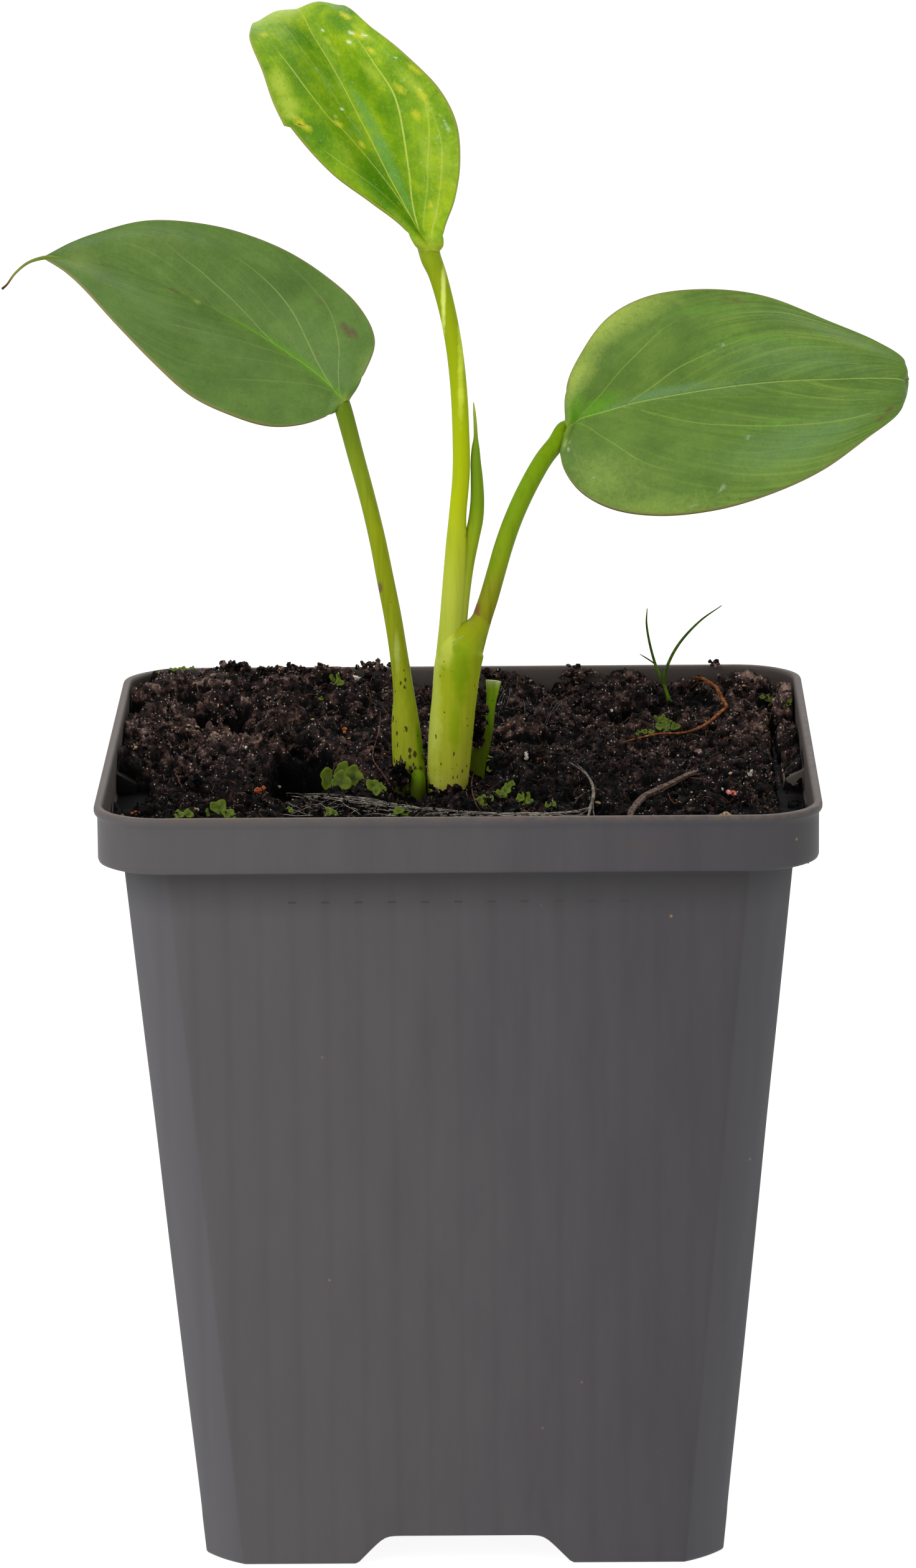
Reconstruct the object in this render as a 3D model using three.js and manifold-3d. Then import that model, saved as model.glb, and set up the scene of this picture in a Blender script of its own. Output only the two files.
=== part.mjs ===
/**
 * Young calla lily in a square nursery pot.
 *
 * Units are millimetres. +Z is up. The origin is on the ground under the middle of the pot, and the
 * plant is seen from -Y. Every mesh is one closed solid, and neighbours keep a gap of CLEAR between them.
 */
import * as THREE from 'three';
import * as BufferGeometryUtils from 'three/addons/utils/BufferGeometryUtils.js';
import Module from 'manifold-3d';

const wasm = await Module();
wasm.setup();

// ---------------------------------------------------------------- driving dimensions

const CLEAR = 0.3;            // gap between pieces that touch
const POT_HEIGHT = 100;
const POT_WIDTH = 90;         // across the rim
const RIM_HEIGHT = 7.2;       // height of the rim band
const RIM_LIP = 0.4;          // how far the top edge stands out from the band
const NECK_HALF = 41.5;       // half width of the body just under the rim band
const BASE_HALF = 32.9;       // half width of the body at the ground
const RIM_CORNER = 8.5;       // corner radius of the rim
const NECK_CORNER = 5.8;      // corner radius of the body at its top
const BASE_CORNER = 5.0;      // corner radius of the body at the ground
const BODY_BEVEL = 0.6;       // 0 keeps the body's corners round, 1 makes them flat chamfers
const WALL = 1.0;
const CHANNEL_HEIGHT = 3.7;   // height of the cross channel between the four feet
const CHANNEL_TOP = 10.1;     // half width of the channel at its top
const CHANNEL_FOOT = 13.6;    // half width of the channel at the ground
const DRAIN_RADIUS = 3;
const DRAIN_OFFSET = 21;      // from the middle of the pot to each outer drain hole
const LEDGE_HALF = 12.5;      // half length of the stacking ledge inside each side of the rim
const LEDGE_INNER = 41;       // from the middle of the pot to the ledge
const LEDGE_TOP = 95.4;

const SOIL_LEVEL = 95.4;
const SOIL_CELL = 3.2;        // grid step of the soil's surface
const CRUMB_COUNT = 36;
const ROOTING_DEPTH = 84;     // height of the buried ends of stems

const BLADE_THICKNESS = 0.7;
const BLADE_ALONG = 22;       // cells along a leaf
const BLADE_ACROSS = 10;      // cells across a leaf, an even number

// ---------------------------------------------------------------- finishes

const finish = (color, roughness) => new THREE.MeshStandardMaterial({ color, roughness, metalness: 0 });
const POT_PLASTIC = finish('#58585c', 0.6);
const PEAT = finish('#2a201c', 0.95);
const STEM_GREEN = finish('#9db52e', 0.5);
const SHEATH_GREEN = finish('#8fb024', 0.5);
const LEAF_GREEN = finish('#4f7a3f', 0.55);
const YOUNG_LEAF_GREEN = finish('#86b01c', 0.4);
const FIBRE_GREY = finish('#8f8877', 0.9);
const GRASS_GREEN = finish('#4a7a1c', 0.6);
const ROOT_BROWN = finish('#8a5326', 0.8);
const HUSK_BROWN = finish('#6d5546', 0.9);

// ---------------------------------------------------------------- helpers

const vec = ([x, y, z]) => new THREE.Vector3(x, y, z);
const curve = (points) => new THREE.CatmullRomCurve3(points.map(vec), false, 'centripetal');
const mix = THREE.MathUtils.lerp;

/** Repeatable random numbers from 0 to 1. */
function seededRandom(seed) {
  let state = seed;
  return () => {
    state = (state * 1664525 + 1013904223) % 4294967296;
    return state / 4294967296;
  };
}

/** A closed BufferGeometry as a manifold solid. */
function solid(geometry) {
  const bare = geometry.clone();
  bare.deleteAttribute('normal');
  bare.deleteAttribute('uv');
  const merged = BufferGeometryUtils.mergeVertices(bare, 1e-5);
  return new wasm.Manifold(new wasm.Mesh({
    numProp: 3,
    vertProperties: new Float32Array(merged.attributes.position.array),
    triVerts: new Uint32Array(merged.index.array),
  }));
}

/** The largest connected body of a manifold solid. */
function largestBody(shape) {
  return shape.decompose().reduce((best, body) => (body.volume() > best.volume() ? body : best));
}

/** A named mesh from a manifold solid. */
function meshOf(name, shape, material) {
  const result = largestBody(shape).getMesh();
  const geometry = new THREE.BufferGeometry();
  geometry.setAttribute('position', new THREE.BufferAttribute(new Float32Array(result.vertProperties), 3));
  geometry.setIndex(new THREE.BufferAttribute(new Uint32Array(result.triVerts), 1));
  geometry.computeVertexNormals();
  const mesh = new THREE.Mesh(geometry, material);
  mesh.name = name;
  return mesh;
}

/** A geometry from rings of points of equal count, skinned together and capped at both ends. */
function loft(rings) {
  const sides = rings[0].length;
  const vertices = rings.flat();
  const faces = [];
  for (let r = 0; r < rings.length - 1; r += 1) {
    for (let k = 0; k < sides; k += 1) {
      const a = r * sides + k;
      const b = r * sides + ((k + 1) % sides);
      faces.push(a, b, b + sides, a, b + sides, a + sides);
    }
  }
  const last = (rings.length - 1) * sides;
  for (let k = 1; k < sides - 1; k += 1) {
    faces.push(0, k + 1, k, last, last + k, last + k + 1);
  }
  const geometry = new THREE.BufferGeometry();
  geometry.setAttribute('position',
    new THREE.Float32BufferAttribute(vertices.flatMap((v) => v.toArray()), 3));
  geometry.setIndex(faces);
  return geometry;
}

/**
 * A tapering stalk: a CylinderGeometry bent along a curve through [x, y, z, radius] points.
 * across is the direction that the section's depth is measured from, and flat squashes that depth.
 */
function stalk(points, { grow = 0, sides = 10, steps = 18, flat = 1, across = [0, -1, 0] } = {}) {
  const path = curve(points);
  const taper = new THREE.SplineCurve(points.map((p, i) => new THREE.Vector2(i, p[3])));
  const geometry = new THREE.CylinderGeometry(1, 1, 1, sides, steps);
  const position = geometry.attributes.position;
  for (let i = 0; i < position.count; i += 1) {
    const along = 0.5 - position.getY(i);
    const centre = path.getPoint(along);
    const forward = path.getTangent(along);
    const side = vec(across).cross(forward).normalize();
    const up = forward.clone().cross(side).normalize();
    const radius = taper.getPoint(along).y + grow;
    centre.addScaledVector(forward, grow * Math.round(2 * along - 1));
    centre.addScaledVector(side, position.getX(i) * radius);
    centre.addScaledVector(up, position.getZ(i) * radius * flat);
    position.setXYZ(i, centre.x, centre.y, centre.z);
  }
  return solid(geometry);
}

/**
 * A leaf blade or flat strip from three matching rows of points: one edge, the midrib and the other edge.
 * Both faces are split into the same triangles. cup bends the halves between midrib and edge.
 */
function blade(edgeA, midrib, edgeB, { grow = 0, thickness = BLADE_THICKNESS, along = BLADE_ALONG,
  across = BLADE_ACROSS, cup = 0 } = {}) {
  const rows = [curve(edgeA), curve(midrib), curve(edgeB)];
  const columns = across + 1;
  const sheet = [];
  for (let i = 0; i <= along; i += 1) {
    const s = i / along;
    const [a, m, b] = rows.map((row) => row.getPoint(s));
    const widen = a.clone().sub(b).setLength(grow);
    const bulge = a.clone().sub(b).cross(rows[1].getTangent(s)).setLength(cup * a.distanceTo(b));
    for (let j = 0; j <= across; j += 1) {
      const t = (2 * j) / across - 1;
      const edge = t < 0 ? a : b;
      const point = m.clone().lerp(edge, Math.abs(t));
      point.addScaledVector(widen, -t);
      point.addScaledVector(bulge, Math.abs(t) * (1 - Math.abs(t)) * 4);
      sheet.push(point);
    }
  }
  const faces = [];
  for (let i = 0; i < along; i += 1) {
    for (let j = 0; j < across; j += 1) {
      const p = i * columns + j;
      faces.push(p, p + columns, p + 1, p + 1, p + columns, p + columns + 1);
    }
  }
  const flat = new THREE.BufferGeometry().setFromPoints(sheet);
  flat.setIndex(faces);
  flat.computeVertexNormals();
  const half = thickness / 2 + grow;
  const normal = flat.attributes.normal;
  const offset = (sign) => sheet.map((p, k) => p.clone().addScaledVector(
    new THREE.Vector3().fromBufferAttribute(normal, k), sign * half));
  const vertices = [...offset(1), ...offset(-1)];
  const count = sheet.length;
  const closed = [...faces];
  for (let k = 0; k < faces.length; k += 3) {
    closed.push(faces[k] + count, faces[k + 2] + count, faces[k + 1] + count);
  }
  const border = [];
  for (let j = 0; j < across; j += 1) border.push(j);
  for (let i = 0; i < along; i += 1) border.push(i * columns + across);
  for (let j = across; j > 0; j -= 1) border.push(along * columns + j);
  for (let i = along; i > 0; i -= 1) border.push(i * columns);
  border.forEach((p, k) => {
    const q = border[(k + 1) % border.length];
    closed.push(p, q, p + count, q, q + count, p + count);
  });
  const geometry = new THREE.BufferGeometry();
  geometry.setAttribute('position',
    new THREE.Float32BufferAttribute(vertices.flatMap((v) => v.toArray()), 3));
  geometry.setIndex(closed);
  return solid(geometry);
}

/** A square ring with rounded corners, at height z. bevel turns the round corners towards flat chamfers. */
function squareRing(half, corner, z, bevel = 0) {
  const points = [];
  const arcSteps = 5;
  for (let quarter = 0; quarter < 4; quarter += 1) {
    const turn = (quarter * Math.PI) / 2;
    const sign = [Math.SQRT2 * Math.cos(turn + Math.PI / 4), Math.SQRT2 * Math.sin(turn + Math.PI / 4)];
    const centre = new THREE.Vector2(sign[0], sign[1]).multiplyScalar(half - corner);
    const round = (angle) => new THREE.Vector2(Math.cos(angle), Math.sin(angle)).multiplyScalar(corner);
    for (let k = 0; k <= arcSteps; k += 1) {
      const f = k / arcSteps;
      const chord = round(turn).lerp(round(turn + Math.PI / 2), f);
      const point = round(turn + (f * Math.PI) / 2).lerp(chord, bevel).add(centre);
      points.push(new THREE.Vector3(point.x, point.y, z));
    }
  }
  return points;
}

/** A box solid from its lowest and highest corners. */
function block(low, high) {
  const size = vec(high).sub(vec(low));
  const middle = vec(low).add(vec(high)).multiplyScalar(0.5);
  return solid(new THREE.BoxGeometry(size.x, size.y, size.z).translate(middle.x, middle.y, middle.z));
}

// ---------------------------------------------------------------- pot

/** Half width of the body at height z. */
const bodyHalf = (z) => mix(BASE_HALF, NECK_HALF, z / (POT_HEIGHT - RIM_HEIGHT));
const bodyCorner = (z) => mix(BASE_CORNER, NECK_CORNER, z / (POT_HEIGHT - RIM_HEIGHT));
const bodyRing = (z, inset = 0) => squareRing(bodyHalf(z) - inset, bodyCorner(z), z, BODY_BEVEL);

/** The cross channel under the pot, grown by a margin. */
function crossChannel(margin) {
  const section = new THREE.Shape([
    new THREE.Vector2(-CHANNEL_FOOT - margin, -1),
    new THREE.Vector2(CHANNEL_FOOT + margin, -1),
    new THREE.Vector2(CHANNEL_FOOT + margin, 0),
    new THREE.Vector2(CHANNEL_TOP + margin, CHANNEL_HEIGHT + margin),
    new THREE.Vector2(-CHANNEL_TOP - margin, CHANNEL_HEIGHT + margin),
    new THREE.Vector2(-CHANNEL_FOOT - margin, 0),
  ]);
  const bar = new THREE.ExtrudeGeometry(section, { depth: POT_WIDTH, bevelEnabled: false });
  bar.translate(0, 0, -POT_WIDTH / 2).rotateX(Math.PI / 2);
  const crossBar = bar.clone().rotateZ(Math.PI / 2);
  return solid(bar).add(solid(crossBar));
}

/** The space inside the pot, drawn in from its walls by a margin and open far above the rim. */
function potCavity(margin) {
  const shoulder = POT_HEIGHT - RIM_HEIGHT + WALL;
  const inset = WALL + margin;
  const rimInside = POT_WIDTH / 2 - RIM_LIP - inset;
  const space = solid(loft([
    bodyRing(inset, inset),
    bodyRing(shoulder + margin, inset),
    squareRing(rimInside, RIM_CORNER - WALL, shoulder + margin),
    squareRing(rimInside, RIM_CORNER - WALL, POT_HEIGHT + 10),
  ]));
  return space.subtract(crossChannel(WALL + margin)).subtract(stackingLedges(margin));
}

/** The four raised ledges inside the rim that nested pots stand on, grown by a margin. */
function stackingLedges(margin) {
  const inner = LEDGE_INNER - margin;
  const outer = POT_WIDTH / 2 - WALL;
  const half = LEDGE_HALF + margin;
  const top = LEDGE_TOP + margin;
  const foot = POT_HEIGHT - RIM_HEIGHT + WALL / 2;
  const ledges = block([inner, -half, foot], [outer, half, top])
    .add(block([-outer, -half, foot], [-inner, half, top]));
  return ledges.add(ledges.rotate([0, 0, 90]));
}

/** Square pot with four feet, a cross channel with drain holes, and a rim band with a lip. */
function makePot() {
  const bandFoot = POT_HEIGHT - RIM_HEIGHT;
  const rimHalf = POT_WIDTH / 2;
  const bandHalf = rimHalf - RIM_LIP;
  const round = 0.7;
  const outside = solid(loft([
    bodyRing(0, round),
    bodyRing(round),
    bodyRing(bandFoot),
    squareRing(bandHalf - round, RIM_CORNER - round, bandFoot),
    squareRing(bandHalf, RIM_CORNER, bandFoot + round),
    squareRing(bandHalf, RIM_CORNER, POT_HEIGHT - 1.4),
    squareRing(rimHalf, RIM_CORNER, POT_HEIGHT - 0.6),
    squareRing(rimHalf, RIM_CORNER, POT_HEIGHT),
  ]));
  let pot = outside.subtract(crossChannel(0)).subtract(potCavity(0));
  const drain = new THREE.CylinderGeometry(DRAIN_RADIUS, DRAIN_RADIUS, 4, 16).rotateX(Math.PI / 2);
  drain.translate(0, 0, CHANNEL_HEIGHT + WALL / 2);
  const spots = [[0, 0], [DRAIN_OFFSET, 0], [-DRAIN_OFFSET, 0], [0, DRAIN_OFFSET], [0, -DRAIN_OFFSET]];
  for (const [x, y] of spots) {
    pot = pot.subtract(solid(drain.clone().translate(x, y, 0)));
  }
  return meshOf('pot', pot, POT_PLASTIC);
}

// ---------------------------------------------------------------- stems

const LEFT_STEM = [
  [-14.5, -1.2, 143.3, 1.1], [-12.9, -1.8, 137.2, 1.05], [-11.5, -2.2, 131.9, 1.02],
  [-10.3, -2.6, 126.7, 1.05],
  [-9.3, -3.0, 121.4, 1.1], [-8.4, -3.3, 116.6, 1.12], [-7.7, -3.6, 111.9, 1.15], [-7.1, -4.0, 106.9, 1.35],
  [-6.9, -4.4, 102.8, 1.8], [-6.6, -4.8, 98.5, 2.0], [-6.3, -5.0, 95.0, 2.0],
  [-6.3, -5.0, ROOTING_DEPTH, 1.9],
];
const CENTRE_STEM = [
  [-3.1, -0.7, 162.1, 1.3], [-2.3, -1.1, 160.1, 1.15], [-1.3, -1.6, 156.4, 1.05], [-0.4, -2.4, 151.8, 1.05],
  [0.2, -3.0, 146.3, 1.06], [0.4, -3.5, 140.8, 1.08], [0.4, -3.9, 135.3, 1.1], [0.0, -4.2, 129.7, 1.15],
  [0.4, -4.4, 126.6, 1.85], [-0.1, -4.6, 121.6, 1.78], [-0.7, -4.8, 116.2, 1.76], [-1.1, -4.9, 111.4, 1.7],
  [-1.2, -5.0, 106.0, 1.6],
];
const RIGHT_PETIOLE = [
  [12.6, 1.3, 139.2, 1.0], [11.7, 0.8, 137.3, 1.05], [10.6, 0.0, 134.9, 1.07], [8.9, -0.8, 132.3, 1.1],
  [7.6, -1.4, 129.5, 1.13], [6.1, -2.0, 126.5, 1.14], [4.9, -2.6, 123.4, 1.2], [4.0, -3.0, 120.2, 1.22],
  [3.1, -3.5, 117.1, 1.25], [2.1, -4.0, 113.6, 1.3], [1.0, -4.4, 109.0, 1.3],
];
const RIGHT_SHEATH = [
  [0.6, -4.7, 115.6, 2.85], [0.1, -4.8, 112.8, 2.95], [-0.3, -4.8, 110.0, 2.87], [-0.7, -4.9, 106.1, 2.83],
  [-1.1, -5.0, 102.3, 2.83], [-1.4, -5.0, 98.5, 2.75], [-1.6, -5.0, 95.0, 2.6],
  [-1.7, -5.0, ROOTING_DEPTH, 2.4],
];
const ROLLED_LEAF = [
  [2.2, -3.2, 143.9, 0.3], [2.4, -3.3, 140.0, 0.32], [2.4, -3.4, 136.0, 0.6], [2.4, -3.4, 132.8, 0.84],
  [2.2, -3.5, 130.0, 0.94], [1.7, -3.7, 127.9, 0.95], [1.1, -4.0, 125.2, 0.9],
];
const CUT_SHEATH = {
  middle: [[4.3, -1.2, 107.8], [4.1, -1.4, 104.6], [3.6, -1.6, 102.2], [3.0, -1.8, 99.4], [2.4, -2.0, 96.5],
    [2.0, -2.2, 92.0], [1.8, -2.4, ROOTING_DEPTH]],
  halfWidths: [1.0, 0.6, 1.0, 1.1, 1.2, 1.2, 1.1],
};

/** The strip left of an old leaf's sheath, cut off short. */
function cutSheath(grow) {
  const edge = (sign) => CUT_SHEATH.middle.map(([x, y, z], i) => {
    const half = sign * CUT_SHEATH.halfWidths[i];
    return [x + half, y - 0.3 * half, z];
  });
  return blade(edge(-1), CUT_SHEATH.middle, edge(1), { grow, thickness: 0.8, along: 12, across: 2 });
}

// ---------------------------------------------------------------- leaves

const LEFT_LEAF = {
  edgeA: [[-13.8, -1, 144.1], [-11.5, 0, 148.1], [-10.4, 2, 151.5], [-12.5, 5, 155.3], [-17.3, 8, 159.1],
    [-23.3, 9.5, 162.3], [-30.8, 9.5, 165], [-39.1, 8.5, 165.9], [-46.1, 6, 164.6], [-50.2, 3.5, 163.3]],
  midrib: [[-14.3, -1, 143.7], [-16.3, 0, 145.7], [-18.9, 1.5, 147.7], [-22.5, 3, 150.1], [-26.4, 4, 152.5],
    [-31.2, 4.5, 155.2], [-36.3, 4.5, 157.6], [-41.7, 4, 160], [-46.8, 3, 161.3], [-50.3, 2.2, 162.1]],
  edgeB: [[-14.9, -1.5, 143.3], [-16.9, -3, 142.4], [-20, -4.5, 141.8], [-24.3, -6, 142],
    [-28.9, -7, 143.6],
    [-33.6, -7, 146.1], [-38.2, -6.5, 150.2], [-42.6, -4.5, 154.7], [-47.4, -1, 159.3], [-50.4, 1, 161.5]],
  dripTip: [[-49.6, 2.2, 162.2, 0.45], [-51.6, 2, 162.3, 0.42], [-54.1, 1, 161.8, 0.35],
    [-55.8, 0.3, 160.5, 0.32],
    [-56.7, -0.3, 159.3, 0.3], [-57.4, -0.6, 158.7, 0.3]],
};
const RIGHT_LEAF = {
  edgeA: [[13.5, 1.5, 139.1], [13.2, -0.5, 136], [15.3, -2.5, 132.7], [19.3, -4.5, 130.7],
    [25.5, -5.5, 129.9],
    [32.6, -5.5, 130.6], [39.7, -4.5, 132.6], [46.5, -3, 135.4], [52.1, -0.5, 138.9], [55.8, 2, 141.2],
    [57.05, 4, 143.1]],
  midrib: [[13.7, 2, 139.7], [16.2, 3, 141], [19.8, 4, 142], [24.2, 5, 143], [29.8, 6, 143.9],
    [36.1, 6.5, 144.8], [42.5, 6.5, 145.4], [48.8, 6, 145.8], [53.9, 5, 145.9], [56.6, 4.7, 145.6],
    [57.1, 5.6, 144.7]],
  edgeB: [[13.8, 2, 140.5], [14, 3.5, 145.2], [15.7, 6, 148.7], [19.1, 9, 152.7], [24.3, 11, 155.2],
    [31.1, 12, 156], [39.1, 12, 155.1], [47.4, 10.5, 152.1], [53.6, 8, 149.7], [56.7, 6.2, 147.8],
    [57.05, 6.6, 145.9]],
};
const CENTRE_LEAF = {
  edgeB: [[-4.4, -0.7, 162.8], [-6.4, -0.8, 166.1], [-10.6, -1.5, 169.6], [-15.3, -2.5, 173.3],
    [-19, -3, 177.4],
    [-22.3, -2.5, 182.1], [-24.1, -0.5, 186.4], [-25.7, 3, 189.9], [-25.2, 8, 190.7], [-23.8, 12, 188.5],
    [-22.9, 13.8, 186.4]],
  midrib: [[-3, -0.5, 163], [-4.7, 0.5, 165.3], [-6.6, 1.5, 168.5], [-8.8, 2.5, 172.5], [-11.1, 3.5, 177],
    [-13.3, 4.5, 181.4], [-15.6, 6, 185.7], [-17.8, 8, 189.2], [-19.9, 10.6, 192.6], [-21.3, 13.4, 189.7],
    [-22.3, 14.5, 186.2]],
  edgeA: [[-1.8, -0.7, 162.8], [-1.5, -0.8, 165.7], [-0.1, -1.8, 169.9], [0.6, -3.5, 174.7],
    [0.2, -4, 179.7],
    [-1.9, -3.5, 184], [-5.9, -1.5, 187.9], [-10, 2.5, 190.7], [-14.2, 8.5, 193.0], [-18.3, 12.6, 190.6],
    [-21.5, 14.2, 186.4]],
};

/** A leaf blade, grown by a margin. */
const leafBlade = (leaf, cup, grow = 0) => blade(leaf.edgeA, leaf.midrib, leaf.edgeB, { grow, cup });

// ---------------------------------------------------------------- small pieces in the pot

const FIBRE_NET = [
  [-22, -8], [-18.2, -9.8], [-13.8, -12.2], [-8.8, -15.2], [-4.5, -17.4], [0, -18.9], [5, -19.6],
  [9.8, -19.4],
  [14.6, -18.4], [17, -15], [17.3, -10], [16.8, -5], [15.7, -0.5], [13.8, 4.7],
];
const NET_TOP = 95.9;
const NET_FOOT = 90;
const NET_THICKNESS = 0.7;
const GRASS_LEFT = [
  [25.6, 34, 109.4, 0.3], [24.9, 34.5, 106.7, 0.34], [25.1, 35, 102.7, 0.36], [26.2, 35.6, 100.1, 0.38],
  [27.3, 36, 97.7, 0.4],
];
const GRASS_RIGHT = [
  [34.5, 37, 109.6, 0.3], [31, 36.5, 107.2, 0.34], [28.6, 36.2, 104.6, 0.36], [27.1, 36, 101.6, 0.38],
  [26.8, 36, 98.7, 0.4], [27.6, 36, 96.8, 0.45], [28.3, 36, 94.5, 0.5], [28.4, 36, 90, 0.5],
];
const LOOSE_ROOT = [
  [30.8, 41.5, 98.9, 0.3], [33.4, 40.4, 97.9, 0.33], [34.9, 37.2, 96.4, 0.36], [33.9, 31.5, 96.1, 0.36],
  [31.6, 25.8, 96.0, 0.36], [28.5, 21.6, 96.0, 0.36], [23.7, 19.0, 95.9, 0.33], [20.3, 16.3, 95.6, 0.3],
];
const DRY_HUSK = [
  [21.2, -26, 95.2, 0.5], [22.0, -20.9, 96.0, 0.6], [24.2, -16, 96.3, 0.7], [27.3, -8.7, 96.3, 0.75],
  [31.2, -0.6, 95.9, 0.55],
];
const LYING = { across: [0, 0, 1], sides: 6 };

/** The top of the fibre sleeve that the plug was raised in, standing on edge in the soil. */
function fibreNet(grow) {
  const row = (z) => FIBRE_NET.map(([x, y]) => [x, y, z]);
  const middle = (NET_TOP + NET_FOOT) / 2;
  const size = { grow, thickness: NET_THICKNESS, along: 26, across: 2 };
  return blade(row(NET_TOP), row(middle), row(NET_FOOT), size);
}

const grassSeedling = (grow) => stalk(GRASS_RIGHT, { grow, sides: 6 })
  .add(stalk(GRASS_LEFT, { grow, sides: 6, steps: 10 }));
const looseRoot = (grow) => stalk(LOOSE_ROOT, { grow, ...LYING });
const dryHusk = (grow) => stalk(DRY_HUSK, { grow, flat: 0.7, steps: 10, ...LYING });

// ---------------------------------------------------------------- soil

const PIT = { x: -19, y: 2, alongX: 4.2, alongY: 8, depth: 9 };
const TRENCH = { x: -5, y: -24, alongX: 17, alongY: 9, depth: 2.6 };
const smooth = THREE.MathUtils.smoothstep;
const bump = (x, y, { x: cx, y: cy, alongX, alongY }) => Math.exp(
  -(Math.abs((x - cx) / alongX) ** 3) - (Math.abs((y - cy) / alongY) ** 3));

/** Height of the soil's surface: mounds at the back left, a pit, and a trench in front of the sleeve. */
function soilHeight(x, y) {
  const mound = 4.2 * smooth(y, 14, 42) * smooth(-x, 0, 18);
  const banks = 1.1 * smooth(y, 30, 42) + 0.9 * smooth(-x, 26, 42);
  const lumps = 0.55 * Math.sin(0.43 * x + 1.3) * Math.cos(0.39 * y)
    + 0.4 * Math.sin(0.81 * x - 0.66 * y + 0.7)
    + 0.3 * Math.cos(1.27 * x + 0.9 * y);
  return SOIL_LEVEL + mound + banks + lumps - PIT.depth * bump(x, y, PIT) - TRENCH.depth * bump(x, y, TRENCH);
}

/** A block whose top follows the soil's surface. */
function soilRelief() {
  const cells = Math.round(POT_WIDTH / SOIL_CELL);
  const geometry = new THREE.BoxGeometry(POT_WIDTH, POT_WIDTH, 1, cells, cells, 1);
  const position = geometry.attributes.position;
  for (let i = 0; i < position.count; i += 1) {
    const isTop = position.getZ(i) > 0;
    position.setZ(i, isTop ? soilHeight(position.getX(i), position.getY(i)) : -5);
  }
  return solid(geometry);
}

/** A clod: a ball with few faces, sunk well into the soil. */
function clod(x, y, z, radius, squash) {
  const ball = new THREE.IcosahedronGeometry(radius, 0).rotateX(x + y).rotateY(3 * x);
  return solid(ball.scale(1, 1, squash).translate(x, y, z));
}

/** Peat soil with a rough surface, plain holes for what stands in it, and grooves for what lies on it. */
function makeSoil(standing) {
  const random = seededRandom(11);
  let soil = soilRelief();
  for (let i = 0; i < CRUMB_COUNT; i += 1) {
    const x = mix(-41, 41, random());
    const y = mix(-41, 41, random());
    const radius = mix(0.9, 2.2, random() ** 2);
    soil = soil.add(clod(x, y, soilHeight(x, y) + 0.2 * radius, radius, 0.8));
  }
  const clodsAtStems = [[-8, -8.2, 96.4, 1.7], [-3.6, -9.4, 95.2, 1.6], [-1.2, -9.8, 95, 1.5],
    [1, -9.2, 95.1, 1.6]];
  const clodsAtBack = [[-29, 40.5, 100.6, 1.6], [-26, 41, 100.4, 1.4], [-24.6, 40.8, 100.6, 1.1],
    [-14, 41, 100.5, 1.5]];
  for (const [x, y, z, radius] of [...clodsAtStems, ...clodsAtBack]) {
    soil = soil.add(clod(x, y, z, radius, 1));
  }
  soil = soil.intersect(potCavity(CLEAR));
  for (const shape of standing) {
    soil = soil.subtract(shape);
  }
  return meshOf('soil', soil, PEAT);
}

// ---------------------------------------------------------------- assembly

const CUP = 0.05;
const leftBlade = (grow) => leafBlade(LEFT_LEAF, CUP, grow);
const rightBlade = (grow) => leafBlade(RIGHT_LEAF, CUP, grow);
const centreBlade = (grow) => leafBlade(CENTRE_LEAF, CUP, grow);

const leftStem = stalk(LEFT_STEM).subtract(leftBlade(CLEAR));
const centreStem = stalk(CENTRE_STEM, { steps: 26 }).subtract(centreBlade(CLEAR))
  .subtract(stalk(ROLLED_LEAF, { grow: CLEAR, sides: 8 }));
const rightStem = stalk(RIGHT_SHEATH, { sides: 14 }).add(stalk(RIGHT_PETIOLE))
  .subtract(stalk(CENTRE_STEM, { grow: CLEAR, steps: 26 }))
  .subtract(rightBlade(CLEAR));
const leftLeaf = leftBlade(0).add(stalk(LEFT_LEAF.dripTip, { sides: 6, steps: 8 }));

const plant = new THREE.Group();
plant.name = 'potted_calla_lily';
plant.add(
  makePot(),
  makeSoil([
    stalk(LEFT_STEM, { grow: CLEAR }),
    stalk(RIGHT_SHEATH, { grow: CLEAR, sides: 14 }),
    cutSheath(CLEAR),
    fibreNet(CLEAR),
    grassSeedling(CLEAR),
    looseRoot(CLEAR),
    dryHusk(CLEAR),
  ]),
  meshOf('stem_left', leftStem, STEM_GREEN),
  meshOf('stem_centre', centreStem, STEM_GREEN),
  meshOf('stem_right', rightStem, STEM_GREEN),
  meshOf('rolled_leaf', stalk(ROLLED_LEAF, { sides: 8 }), SHEATH_GREEN),
  meshOf('cut_sheath', cutSheath(0), SHEATH_GREEN),
  meshOf('leaf_left', leftLeaf, LEAF_GREEN),
  meshOf('leaf_right', rightBlade(0), LEAF_GREEN),
  meshOf('leaf_centre', centreBlade(0), YOUNG_LEAF_GREEN),
  meshOf('fibre_net', fibreNet(0), FIBRE_GREY),
  meshOf('grass_seedling', grassSeedling(0), GRASS_GREEN),
  meshOf('loose_root', looseRoot(0), ROOT_BROWN),
  meshOf('dry_husk', dryHusk(0), HUSK_BROWN),
);

export default plant;
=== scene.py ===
"""Visual model of a young calla lily in a square nursery pot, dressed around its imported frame.

Lengths in the tables below are millimetres, and every mesh is turned into metres when it is built.
+Z is up, the origin is on the ground under the middle of the pot, and the plant is seen from -Y.
"""
from __future__ import annotations

import logging
import math
from dataclasses import dataclass, field
from functools import partial
from typing import Callable

import bmesh
import bpy
import numpy as np
from mathutils import Matrix, Vector


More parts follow.
